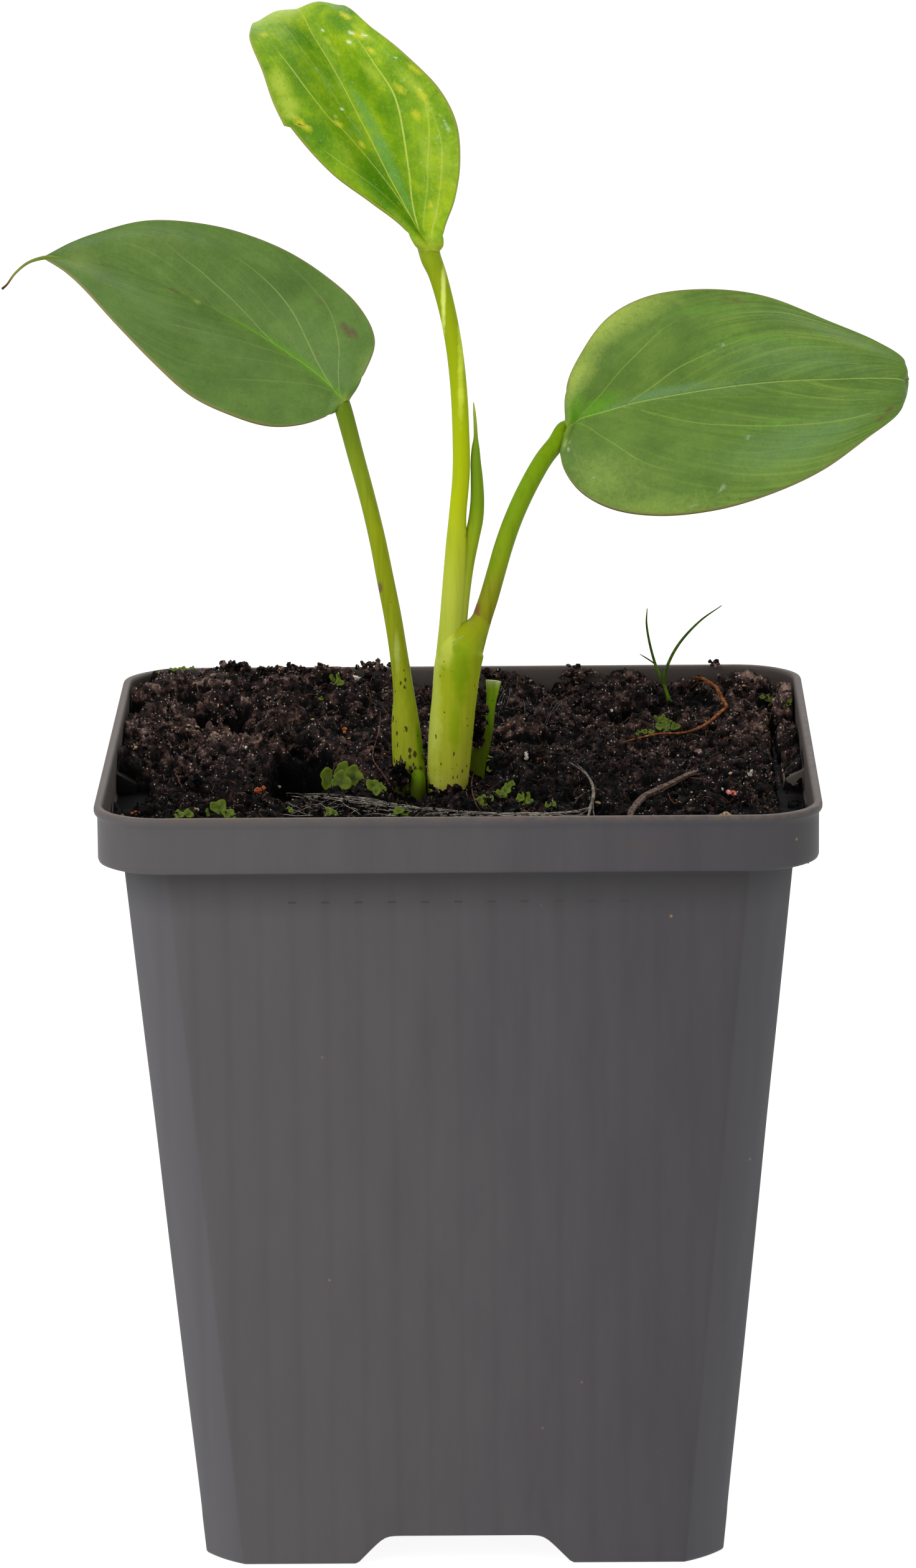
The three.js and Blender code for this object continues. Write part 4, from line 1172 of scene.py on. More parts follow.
@dataclass
class Soil:
    """Peat that fills the pot: a clotted surface with a pit, hollows and a mound, and crumbs on it."""

    level: float = 95.3
    half: float = 43.6
    corner: float = 7.5
    cells: int = 295
    map_size: int = 640
    map_width: float = 90.0
    highest: float = 100.3
    walls: tuple = ((43.6, 94.2), (38.3, 94.1), (38.2, 92.0), (32.2, 6.5))  # half widths and heights, down
    corner_cut: float = 9.0
    search: tuple = (5.5, -12.0, 351)  # heights over SIGHT_LEVEL that settle tries
    seed: int = 11
    quick_share: float = 0.35
    fines: tuple = (9000, 0.08, 0.32)  # how many, least and greatest radius
    lumps: tuple = (1500, 0.22, 0.62)
    grit: tuple = (420, 0.06, 0.17)
    fibres: tuple = (650, (1.0, 5.0), (0.035, 0.075))  # how many, lengths and radii
    hairs: tuple = (45, (2.0, 8.0), (0.015, 0.03))
    finish: Peat = Peat()
    ground: Array | None = None
    painted_shade: Array | None = None
    grain: Array | None = None

    def holes(self, x: Array, y: Array) -> Array:
        """Depth of the pit, the slits beside the walls and the other hollows, with uneven edges.

        Args:
            x: places across.
            y: places in depth.

        Returns:
            The depth at each place.
        """
        reach = 1 - 0.7 * smoothstep(np.abs(x), 36, 40)
        bent_x = x + reach * (0.5 * np.sin(1.1 * y + 0.5 * x) + 0.3 * np.sin(2.7 * y - 1.6 * x + 1))
        bent_y = y + 0.6 * np.sin(1.2 * x + 0.4 * y + 2) + 0.3 * np.sin(2.9 * x + 1.3 * y)
        depth = np.zeros_like(x)
        for cx, cy, ax, ay, deep in SOIL_HOLES:
            far = np.abs((bent_x - cx) / ax) ** 2.4 + np.abs((bent_y - cy) / ay) ** 2.4
            depth = depth + deep * np.exp(-0.7 * np.minimum(far, 9) ** 2)
        return depth

    def base(self, x: Array, y: Array) -> Array:
        """Height of the surface without its clots, much as the frame's soil has it.

        Args:
            x: places across.
            y: places in depth.

        Returns:
            The height at each place.
        """
        back = 2.7 * smoothstep(y, 24, 42.5) + 0.7 * smoothstep(y, 34, 43) * np.cos(0.8 * x + 0.6)
        mound = 2.0 * smoothstep(y, 12, 38) * smoothstep(-x, 6, 17)
        left = 2.5 * smoothstep(-x, 35, 42) * smoothstep(y, -6, -2) * (1 - 0.75 * smoothstep(y, 20, 42))
        right = 1.7 * smoothstep(x, 40.5, 43) * smoothstep(y, -6.5, -3.5)
        lumps = 0.5 * np.sin(0.43 * x + 1.3) * np.cos(0.39 * y) + 0.3 * np.sin(0.81 * x - 0.66 * y + 0.7)
        return self.level + back + mound + left + right + lumps - self.holes(x, y)

    def bumps(self, rng: np.random.Generator, low: float, high: float, fall: float = 1.5) -> Array:
        """A random map.

        Args:
            rng: where its numbers come from.
            low: width of the smallest bumps.
            high: width of the largest ones.
            fall: how much weaker the small ones are.

        Returns:
            The map, with a mean of 0 and a spread of 1.
        """
        size = self.map_size
        waves = np.fft.fftfreq(size, self.map_width / size)
        pitch = np.maximum(np.hypot(waves[:, None], waves[None, :]), 1e-6)
        gain = np.where((pitch > 1 / high) & (pitch < 1 / low), pitch ** -fall, 0)
        grid = np.fft.ifft2(np.fft.fft2(rng.normal(size=(size, size))) * gain).real
        return grid / grid.std()

    def stamp(self) -> None:
        """Makes the maps of the ground's height, of how sunk each place is, which sets the painted shade in
        sunk places and the painted light on crests, and of its tint.
        """
        rng = np.random.default_rng(self.seed)
        clots = 0.45 * self.bumps(rng, 4, 16) - 0.55 * np.abs(self.bumps(rng, 1.6, 6)) + 0.43
        crags = 0.3 * np.abs(self.bumps(rng, 0.8, 2.4)) - 0.24
        self.grain = self.bumps(rng, 0.5, 9, 1.0)
        ticks = np.linspace(-self.map_width / 2, self.map_width / 2, self.map_size)
        x, y = np.meshgrid(ticks, ticks, indexing="ij")
        self.ground = self.base(x, y) + clots + crags + 0.11 * self.bumps(rng, 0.4, 1.2, 0.6)
        self.ground = np.minimum(self.ground, self.highest)
        waves = np.fft.fftfreq(self.map_size, self.map_width / self.map_size)
        pitch = waves[:, None] ** 2 + waves[None, :] ** 2
        near, far = (np.fft.ifft2(np.fft.fft2(self.ground) * np.exp(-2 * (np.pi * width) ** 2 * pitch)).real
                     - self.ground for width in (0.9, 2.6))
        sunk = np.clip(np.where(near + far > 0, np.maximum(near, far), 0.5 * (near + far)) / 0.5, -0.4, 1)
        self.painted_shade = np.maximum(sunk, smoothstep(self.holes(x, y), 0.5, 2.2))

    def gain(self, x: Array, y: Array) -> Array:
        """How much paler the peat is: more at the left, the far right and one spot at the left back, less in
        front and in two spots.

        Args:
            x: places across.
            y: places in depth.

        Returns:
            What is added to the tint at each place.
        """
        left = 0.25 * smoothstep(-x, 14, 34) * smoothstep(y, -2, 14)
        right = 0.4 * smoothstep(x, 30, 40) * smoothstep(y, 12, 24)
        patch = 0.4 * np.exp(-((x + 32) / 5) ** 2 - ((y - 20) / 5) ** 2)
        patch -= 0.12 * np.exp(-((x + 22) / 6) ** 2 - ((y - 26) / 10) ** 2)
        patch -= 0.16 * np.exp(-((x - 9) / 7) ** 2 - ((y - 2) / 10) ** 2)
        back = 0.1 * smoothstep(y, 12, 26) * (x > -30)
        return left + right + patch + back - 0.35 * smoothstep(-y, -4, 14)

    def read(self, grid: Array, x: Array, y: Array) -> Array:
        """Reads a map between its points.

        Args:
            grid: the map.
            x: places across.
            y: places in depth.

        Returns:
            Its value at each place.
        """
        size = self.map_size
        fx, fy = (np.clip((np.asarray(v) + self.map_width / 2) / self.map_width * (size - 1), 0, size - 1.001)
                  for v in (x, y))
        i, j = fx.astype(int), fy.astype(int)
        wx, wy = fx - i, fy - j
        return ((grid[i, j] * (1 - wx) + grid[i + 1, j] * wx) * (1 - wy)
                + (grid[i, j + 1] * (1 - wx) + grid[i + 1, j + 1] * wx) * wy)

    def top(self, x: Array, y: Array) -> Array:
        """Height of the clotted surface."""
        return self.read(self.ground, x, y)

    def settle(self, spots: Array, lift: float = 0.0) -> Array:
        """Slides spots along a line of sight until they meet the soil or the far wall.

        Args:
            spots: rows of x and y, where the lines cross SIGHT_LEVEL.
            lift: how far above the soil they stay.

        Returns:
            Rows of x, y and z.
        """
        aim = np.column_stack([np.asarray(spots, float)[:, :2], np.full(len(spots), SIGHT_LEVEL)])
        ray = aim - EYE
        ray = ray / ray[:, 2:]
        steps = np.linspace(*self.search)[:, None]
        x, y = aim[:, 0] + steps * ray[:, 0], aim[:, 1] + steps * ray[:, 1]
        met = (SIGHT_LEVEL + steps <= self.top(x, y) + lift) | (y > WALL_REACH)
        first = np.argmax(met, axis=0)
        return aim + steps[first] * ray

    def lay(self, path: list, lift: float = 0.06) -> list:
        """Lays a path on the soil, smoothed so that it bridges the gaps between crumbs.

        Args:
            path: rows of x, y and radius.
            lift: how far above the soil it stays.

        Returns:
            Rows of x, y, z and radius.
        """
        share = np.linspace(0, 1, 8 * len(path))
        rows = spline([(x, y, 0.0, radius) for x, y, radius in path], share)
        spots = self.settle(rows, lift)
        peak = np.array([spots[max(0, k - 3):k + 4].max(axis=0) for k in range(len(spots))])[:, 2]
        smooth = np.convolve(np.pad(peak, 4, mode="edge"), np.full(9, 1 / 9), mode="valid")
        shift = (smooth - spots[:, 2])[:, None] * (0.0, SIGHT_SLOPE)
        return [tuple(row) for row in np.column_stack([spots[:, :2] + shift, smooth, rows[:, 3]])]

    def rounded(self, u: Array, v: Array) -> Array:
        """Spreads a square grid over a square with rounded corners.

        Args:
            u: from 0 to 1 across.
            v: from 0 to 1 in depth.

        Returns:
            Rows of x and y.
        """
        xy = (2 * np.stack([u, v], 1) - 1) * self.half
        edge = self.half - self.corner
        past = np.maximum(np.abs(xy) - edge, 0)
        shrink = past.max(axis=1) / np.maximum(np.hypot(*past.T), 1e-9)
        rounded = np.sign(xy) * (edge + past * shrink[:, None])
        return np.where((past > 0).all(axis=1)[:, None], rounded, xy)

    def body(self) -> BMesh:
        """The closed block of soil inside the pot.

        Returns:
            The block, with its attributes sunk and tint.
        """
        bm, u, v = lattice(self.cells, self.cells)
        xy = self.rounded(u, v)
        move(bm, np.column_stack([xy, self.top(xy[:, 0], xy[:, 1])]))
        # sunk carries the painted shade in sunk places and the painted light on crests.
        paint(bm, "sunk", self.read(self.painted_shade, xy[:, 0], xy[:, 1]))
        paint(bm, "tint", 0.5 + 0.16 * self.read(self.grain, *xy.T) + self.gain(*xy.T))
        for half, height in self.walls:
            rim = [edge for edge in bm.edges if edge.is_boundary]
            grown = bmesh.ops.extrude_edge_only(bm, edges=rim)["geom"]
            for vert in grown:
                if isinstance(vert, bmesh.types.BMVert):
                    x, y = abs(vert.co.x) / MM, abs(vert.co.y) / MM
                    cut = (2 * half - self.corner_cut) / (x + y) if half < 40 else 1.0
                    ratio = min(1.0, half / max(x, y), cut)
                    vert.co = Vector((vert.co.x * ratio, vert.co.y * ratio, height * MM))
        return close(bm)

    def scatter(self, rng: np.random.Generator, count: int) -> tuple[Array, Array]:
        """Random spots on the soil, well inside the rim and out of the holes.

        Args:
            rng: where they come from.
            count: how many.

        Returns:
            Their x and their y.
        """
        x, y = rng.uniform(-LOOSE_REACH, LOOSE_REACH, (2, 3 * count))
        kept = (self.holes(x, y) < 0.9) & (np.abs(x) + np.abs(y) < 80)
        return x[kept][:count], y[kept][:count]

    def pebbles(self, name: str, level: int, spots: Array, radius: Array, seed: int, finish: Finish,
                jag: float = 0.28, flat: float = 1.0) -> None:
        """Builds loose grains.

        Args:
            name: the piece's name.
            level: how fine the seed icosphere is.
            spots: rows of x, y and z, the grains' middles.
            radius: their radii.
            seed: the random seed.
            finish: their finish.
            jag: how uneven they are.
            flat: how thick they are for their width.
        """
        rng = np.random.default_rng(seed)
        count = len(spots)
        bm = bmesh.new()
        bmesh.ops.create_icosphere(bm, subdivisions=level, radius=1)
        bm, block = swarm(bm, count)
        squash = rng.uniform(0.5, 1.2, (count, 3))
        axes = np.linalg.qr(rng.normal(size=(count, 3, 3)))[0]
        rough = rng.uniform(1 - jag, 1 + jag, (count, block))
        local = np.array([vert.co[:] for vert in bm.verts]).reshape(count, block, 3)
        local = local * rough[:, :, None] * squash[:, None, :]
        turned = np.einsum("cij,cvj->cvi", axes, local) * radius[:, None, None] * (1, 1, flat)
        move(bm, (turned + spots[:, None, :]).reshape(-1, 3))
        bmesh.ops.recalc_face_normals(bm, faces=bm.faces)
        paint(bm, "tint", np.repeat(rng.random(count) + self.gain(spots[:, 0], spots[:, 1]), block))
        publish(bm, name, finish, smooth=level > 2)

    def crumbs(self, name: str, level: int, count: int, low: float, high: float, seed: int) -> None:
        """Builds random peat crumbs that lie on the soil.

        Args:
            name: the piece's name.
            level: how fine the seed icosphere is.
            count: how many there are.
            low: the smallest radius.
            high: the largest radius.
            seed: the random seed.
        """
        rng = np.random.default_rng(seed)
        x, y = self.scatter(rng, count)
        radius = low + (high - low) * rng.random(count) ** 2.5
        spots = np.stack([x, y, self.top(x, y) + 0.3 * radius], 1)
        self.pebbles(name, level, spots, radius, seed + 100, self.finish, 0.4)

    def clods(self, name: str, seed: int) -> None:
        """Builds the heaps of crumbs.

        Args:
            name: the piece's name.
            seed: the random seed.
        """
        rng = np.random.default_rng(seed)
        spots = []
        for x, y, wide, tall, count in SOIL_HEAPS:
            middle = self.settle([(x, y)])[0] + (0, 0, 0.25 * tall)
            spots.append(middle + rng.normal(0, 1, (count, 3)) * (wide, 0.4, tall))
        for middle, spread, count in STUCK_SOIL:
            spots.append(np.array(middle) + rng.normal(0, 1, (count, 3)) * spread)
        spots = np.concatenate(spots)
        spots[:, 1] = np.minimum(spots[:, 1], self.half + 0.1)
        self.pebbles(name, 2, spots, rng.uniform(0.16, 0.5, len(spots)), seed + 1, self.finish, 0.4)

    def strands(self, name: str, count: int, length: tuple, radius: tuple, seed: int, finish: Finish,
                area: tuple = (-42, 42, -42, 42), lift: float = 0.08) -> None:
        """Builds fine fibres that lie on the soil.

        Args:
            name: the piece's name.
            count: how many fibres.
            length: shortest and longest, in millimetres.
            radius: thinnest and thickest.
            seed: the random seed.
            finish: their finish.
            area: where they are: least and greatest x, then y.
            lift: how far they stay above the surface.
        """
        rng = np.random.default_rng(seed)
        bm, block, angle, share = flock(4, 8, count)
        x, y = rng.uniform(area[0], area[1], 2 * count), rng.uniform(area[2], area[3], 2 * count)
        kept = self.holes(x, y) < 0.7
        x, y = x[kept][:count], y[kept][:count]
        heading = rng.uniform(0, 2 * np.pi, (count, 1))
        size = rng.uniform(*length, (count, 1))
        thick = rng.uniform(*radius, (count, 1))
        turn = heading + rng.normal(0, 0.5, (count, 1)) * (share - 0.5)
        px = np.clip(x[:, None] + (share - 0.5) * size * np.cos(turn), -LOOSE_REACH, LOOSE_REACH)
        py = np.clip(y[:, None] + (share - 0.5) * size * np.sin(turn), -LOOSE_REACH, LOOSE_REACH)
        pz = self.top(px, py) + lift
        wide = thick * taper(share)
        px = px - np.sin(turn) * np.cos(angle) * wide
        py = py + np.cos(turn) * np.cos(angle) * wide
        move(bm, np.stack([px, py, pz + np.sin(angle) * wide], 2).reshape(-1, 3))
        paint(bm, "tint", np.repeat(rng.random(count), block))
        publish(close(bm), name, finish)

    def build(self) -> None:
        """Builds the soil and what is loose on it."""
        self.stamp()
        publish(self.body(), "soil_body", self.finish, ("soil",))
        share = 1.0
        for name, level, (count, low, high), seed in (("soil_fines", 1, self.fines, 21),
                                                      ("soil_crumbs", 2, self.lumps, 22)):
            self.crumbs(name, level, int(count * share), low, high, seed)
        self.clods("soil_clods", 41)
        rng = np.random.default_rng(43)
        count, *radii = self.grit
        x, y = self.scatter(rng, count)
        spots = np.stack([x, y, self.top(x, y) + 0.1], 1)
        grit = Mineral("pale_grit", dark="#54463a", light="#a5937c")
        self.pebbles("soil_grit", 1, spots, rng.uniform(*radii, len(spots)), 44, grit)
        for name, dark, light, flat, grains in SOIL_GRAINS:
            rows = np.array(grains)
            spots = self.settle(rows, 0.1) + (0, 0, 0.1)
            self.pebbles(f"soil_{name}", 2, spots, rows[:, 2], 45, Mineral(name, dark, light), 0.3, flat)
        fibre = Fibre("peat_fibre", dark="#1d110b", light="#6a4a35")
        self.strands("soil_fibres", int(self.fibres[0] * share), *self.fibres[1:], 25, fibre)
        thread = Fibre("pale_root_hair", dark="#3d3937", light="#7d7874")
        self.strands("soil_root_hairs", *self.hairs, 26, thread, (3, 14, 27, 42), 0.15)
        rootlet = Fibre("rootlet_bark", dark="#3a2116", light="#8a5c40")
        for number, path in enumerate(ROOTLETS):
            publish(tube(self.lay(path), 7, 70), f"soil_rootlet_{number}", rootlet)


# ---- plant

@dataclass(frozen=True)
class Vein:
    """A side vein: its path over the blade as (s, t) pairs, its half width in mm and how much it shows."""

    path: tuple
    width: float = 0.1
    strength: float = 0.7
    fade: float = 1.0

    def run(self, s: Array) -> Array:
        """Follows the vein along the blade.

        Args:
            s: from the stalk, 0, to the tip, 1.

        Returns:
            Its |t| at s, smoothed, and below 0 before it leaves the midrib.
        """
        rows = np.abs(np.array(self.path))
        grid = np.linspace(-0.3, 1.3, 321)
        slope = max((rows[-1, 1] - rows[-2, 1]) / (rows[-1, 0] - rows[-2, 0]), 0.2)
        line = np.interp(grid, rows[:, 0], rows[:, 1])
        line = line - np.maximum(rows[0, 0] - grid, 0) * 2.5 + np.maximum(grid - rows[-1, 0], 0) * slope
        window = np.hanning(17)
        return np.interp(s, grid, np.convolve(line, window / window.sum(), mode="same"))


@dataclass
class LeafBlade:
    """A leaf blade between two edges, folded along its midrib, with its halves arched."""

    name: str
    node: str
    rows: dict
    finish: Leaf
    veins: tuple = ()
    patches: dict = field(default_factory=dict)
    slot: str = "leaf_green"
    along: int = 190
    across: int = 110
    cup: float = 0.05
    thickness: float = 0.4
    ripple: float = 0.2
    phase: float = 0.0
    groove: float = 0.06
    fold: float = 0.25
    neck: float = 1.0
    neck_length: float = 0.05
    pinch: float = 0.8
    tip: tuple | None = None
    notch: tuple | None = None  # where it starts, its length and its depth

    def width(self, s: Array) -> Array:
        """The blade's half width in millimetres."""
        return np.linalg.norm(spline(self.rows["edge_a"], s) - spline(self.rows["edge_b"], s), axis=1) / 2

    def frame_at(self, s: Array) -> tuple[Array, Array, Array, Array]:
        """Finds the blade's lines.

        Args:
            s: from the stalk, 0, to the tip, 1.

        Returns:
            Rows for one edge, the midrib, the other edge and the direction out of the blade's face.
        """
        a, m, b = (spline(self.rows[key], s) for key in ("edge_a", "midrib", "edge_b"))
        ahead = unit(spline(self.rows["midrib"], s + 0.01) - spline(self.rows["midrib"], s - 0.01))
        return a, m, b, unit(np.cross(a - b, ahead))

    def centre(self, s: Array, t: Array) -> Array:
        """The middle of the blade, in millimetres.

        Args:
            s: from the stalk, 0, to the tip, 1.
            t: from one edge, -1, over the midrib to the other, 1.

        Returns:
            Rows of x, y and z.
        """
        a, m, b, out = self.frame_at(s)
        width = np.linalg.norm(a - b, axis=1, keepdims=True)
        if self.notch:
            start, length, depth = self.notch
            grown = np.where(s > start, depth * np.exp((start - s) / length), 0)
            b = b + unit(b - m) * grown[:, None]
        side = t[:, None]
        reach = np.sqrt(side ** 2 + self.fold ** 2 * (1 - side ** 2))
        spot = m + (a - m) * (reach - side) / 2 + (b - m) * (reach + side) / 2
        spot = spot + out * self.cup * width * np.sin(np.pi * side) ** 2
        stalk = self.neck * np.sqrt(1 - t ** 2) * (1 - smoothstep(s, 0.0, 0.1))
        spot = spot + out * stalk[:, None]
        spot = m + (spot - m) * (self.pinch + (1 - self.pinch) * smoothstep(s, 0.0, 0.04))[:, None]
        wave = np.sin(9 * s + 3 * np.sign(t) + self.phase) + 0.6 * np.sin(23 * s + 5 * t + self.phase)
        spot = spot + out * (self.ripple * wave * t ** 2 * np.sin(np.pi * s))[:, None]
        depth = self.groove * np.exp(-(t * width[:, 0] / 0.8) ** 2) * smoothstep(s, 0.0, 0.1)
        for vein in self.veins:
            gap = (np.abs(t) - vein.run(s)) * width[:, 0] / 2
            same = (np.sign(t) == np.sign(vein.path[-1][1])) & (vein.run(s) > 0)
            depth = depth + np.where(same, 0.03 * vein.strength * np.exp(-(gap / 0.4) ** 2), 0)
        return spot - out * depth[:, None]

    def vein_layers(self, s: Array, t: Array, width: Array) -> dict[str, Array]:
        """What the finish needs to draw the veins.

        Args:
            s: from the stalk, 0, to the tip, 1.
            t: from one edge, -1, to the other, 1.
            width: the blade's half width at s.

        Returns:
            Signed distance to the nearest vein, its width and strength, and the flow between veins. The
            distance changes its sign only where a vein is crossed, so the line stays thin.
        """
        nearest = np.full(len(s), 9.0)
        sign = np.ones(len(s))
        half = np.full(len(s), 0.1)
        strength = np.zeros(len(s))
        for vein in self.veins:
            own = np.sign(t) == np.sign(vein.path[-1][1])
            run = vein.run(s)
            slant = (vein.run(s + 0.01) - run) * width / 0.01 / 45.0
            gap = (np.abs(t) - run) * width / np.sqrt(1 + slant ** 2)
            gap = np.where(own & (run > -0.05), gap, 9.0)
            sign = np.where(own & (np.abs(t) > run), -sign, sign)
            closer = np.abs(gap) < nearest
            begin, end = vein.path[0][0], vein.path[-1][0]
            shown = vein.strength * smoothstep(s, begin - 0.03, begin + 0.02)
            shown = shown * (1 - smoothstep(s, begin + vein.fade * (end - begin), end + 0.02))
            nearest = np.where(closer, np.abs(gap), nearest)
            half = np.where(closer, vein.width, half)
            strength = np.where(closer, shown, strength)
        flow = (s - 0.72 * np.abs(t) ** 1.2) * 10 + np.where(t < 0, 21.0, 0.0)
        return {"vein": sign * nearest, "vein_width": half, "vein_strength": strength, "flow": flow}

    def patch(self, name: str, s: Array, t: Array) -> Array:
        """How strongly one kind of mark shows.

        Args:
            name: the mark.
            s: from the stalk, 0, to the tip, 1.
            t: from one edge, -1, to the other, 1.

        Returns:
            At most 1.25 in the middle of each of its spots, and 0 outside them.
        """
        value = np.zeros(len(s))
        for spot_s, spot_t, radius_s, radius_t, amount in self.patches.get(name, ()):
            far = np.hypot((s - spot_s) / radius_s, (t - spot_t) / radius_t)
            value = np.maximum(value, amount * np.clip(1.25 - far, 0, 1))
        return value

    def build(self) -> None:
        """Builds the blade with its attributes."""
        bm, u, v = lattice(self.across, self.along)
        s, t = v, 2 * u - 1
        spots = self.centre(s, t)
        if self.tip:
            pulled = smoothstep(s, 0.965, 1.0)[:, None]
            spots = spots + (np.array(self.tip) - spots) * pulled
        move(bm, spots)
        width = self.width(s)
        layers = self.vein_layers(s, t, width)
        layers.update(side=t, along=s * 0.8, rib=t * width)
        layers["neck"] = 1 - smoothstep(s, 0.0, self.neck_length)
        layers.update({mark[0]: self.patch(mark[0], s, t) for mark in self.finish.marks})
        for name, values in layers.items():
            paint(bm, name, values)
        bmesh.ops.recalc_face_normals(bm, faces=bm.faces)
        piece = publish(bm, self.name, self.finish, (self.node,))
        thicken(piece, self.thickness, 0.0)

    def keel(self, radius: float) -> list:
        """The part of the stalk that runs down the back of the blade.

        Args:
            radius: the stalk's radius at its upper end.

        Returns:
            Rows of x, y, z and radius.
        """
        s = np.linspace(0.8, 0.03, 14)
        _, middle, _, out = self.frame_at(s)
        thick = np.interp(s, [0.03, 0.06, 0.14, 0.8], [radius, 0.8 * radius, 0.5, 0.13])
        back = middle - out * (0.8 * thick + 0.1)[:, None]
        return [(*spot, r) for spot, r in zip(back, thick)]


LEFT_VEINS = (
    Vein(((0, -0.05), (0.033, -0.09), (0.114, -0.26), (0.195, -0.4), (0.269, -0.54), (0.336, -0.66),
          (0.376, -0.72), (0.462, -0.81), (0.6, -0.97)), 0.1, 0.55, 0.45),
    Vein(((0.1, -0.01), (0.133, -0.04), (0.184, -0.08), (0.248, -0.15), (0.295, -0.23), (0.338, -0.29),
          (0.408, -0.4), (0.505, -0.52), (0.572, -0.6), (0.617, -0.66)), 0.11, 0.7, 0.7),
    Vein(((0.38, -0.01), (0.433, -0.05), (0.479, -0.11), (0.548, -0.2), (0.595, -0.25), (0.631, -0.31),
          (0.686, -0.39), (0.739, -0.55)), 0.1, 0.6, 0.7),
    Vein(((0.3, -0.08), (0.352, -0.17), (0.407, -0.23), (0.457, -0.28), (0.502, -0.34), (0.6, -0.46)),
         0.1, 0.16),
    Vein(((0.56, -0.02), (0.64, -0.16), (0.72, -0.3), (0.8, -0.45)), 0.1, 0.2),
    Vein(((0.1, 0.08), (0.119, 0.13), (0.198, 0.25), (0.29, 0.41), (0.377, 0.53), (0.443, 0.64),
          (0.496, 0.73)), 0.09, 0.32, 0.7),
    Vein(((0.24, 0.07), (0.269, 0.12), (0.333, 0.2), (0.405, 0.32), (0.476, 0.45)), 0.09, 0.2),
    Vein(((0.31, 0.03), (0.34, 0.06), (0.402, 0.13), (0.471, 0.2), (0.55, 0.32), (0.596, 0.39),
          (0.636, 0.47)), 0.09, 0.32),
    Vein(((0.05, 0.15), (0.12, 0.4), (0.2, 0.6), (0.3, 0.8)), 0.09, 0.12),
    Vein(((0.5, 0.02), (0.6, 0.14), (0.7, 0.24), (0.8, 0.36)), 0.09, 0.14),
)
# Marks on a leaf by name: s, t, radius along s, radius along t and strength.
LEFT_PATCHES = {
    "lush": ((0.05, 0, 0.1, 0.3, 0.8), (0.15, -0.01, 0.1, 0.12, 1), (0.24, -0.01, 0.1, 0.09, 1),
             (0.34, -0.005, 0.12, 0.06, 0.95), (0.46, 0, 0.1, 0.035, 0.8)),
    "pale": ((0.93, 0.1, 0.1, 0.8, 0.5), (0.14, -0.9, 0.1, 0.25, 0.4), (0.75, -0.5, 0.12, 0.4, 0.3),
             (0.607, 0.01, 0.012, 0.03, 1.1)),
    "scar": ((0.281, -0.7, 0.035, 0.07, 0.8), (0.264, -0.76, 0.025, 0.05, 0.75),
             (0.389, -0.69, 0.02, 0.04, 0.5), (0.264, -0.23, 0.012, 0.025, 0.55), (0.667, 0, 0.02, 0.03, 0.6),
             (0.634, -0.09, 0.01, 0.02, 0.6), (0.402, 0.86, 0.008, 0.015, 0.8)),
}
RIGHT_VEINS = (
    Vein(((0.1, 0.1), (0.124, 0.15), (0.152, 0.2), (0.214, 0.31), (0.26, 0.38), (0.303, 0.43),
          (0.338, 0.49), (0.371, 0.56), (0.45, 0.7)), 0.1, 0.6, 0.65),
    Vein(((0.27, 0.02), (0.293, 0.05), (0.348, 0.14), (0.383, 0.21), (0.412, 0.25), (0.443, 0.28),
          (0.5, 0.36), (0.6, 0.48)), 0.1, 0.75, 0.35),
    Vein(((0.1, 0.45), (0.145, 0.57), (0.19, 0.69), (0.236, 0.75), (0.3, 0.8)), 0.1, 0.25),
    Vein(((0.42, 0.06), (0.503, 0.12), (0.565, 0.16), (0.65, 0.21), (0.75, 0.25)), 0.08, 0.3),
    Vein(((0.498, 0.37), (0.527, 0.4), (0.574, 0.45), (0.674, 0.52), (0.78, 0.6)), 0.08, 0.25),
    Vein(((0.25, -0.01), (0.293, -0.06), (0.36, -0.19), (0.419, -0.28), (0.458, -0.33), (0.515, -0.38),
          (0.588, -0.45), (0.682, -0.53), (0.789, -0.63)), 0.11, 0.5),
    Vein(((0.34, -0.02), (0.403, -0.05), (0.453, -0.07), (0.522, -0.12), (0.6, -0.17), (0.674, -0.24),
          (0.8, -0.3)), 0.08, 0.25),
    Vein(((0.07, -0.06), (0.109, -0.15), (0.169, -0.28), (0.214, -0.37), (0.26, -0.45), (0.327, -0.58),
          (0.367, -0.64), (0.441, -0.7)), 0.1, 0.45, 0.6),
    Vein(((0.5, -0.58), (0.539, -0.62), (0.619, -0.68), (0.7, -0.74)), 0.08, 0.2),
    Vein(((0.04, -0.3), (0.1, -0.6), (0.18, -0.8), (0.25, -0.92)), 0.1, 0.15),
)
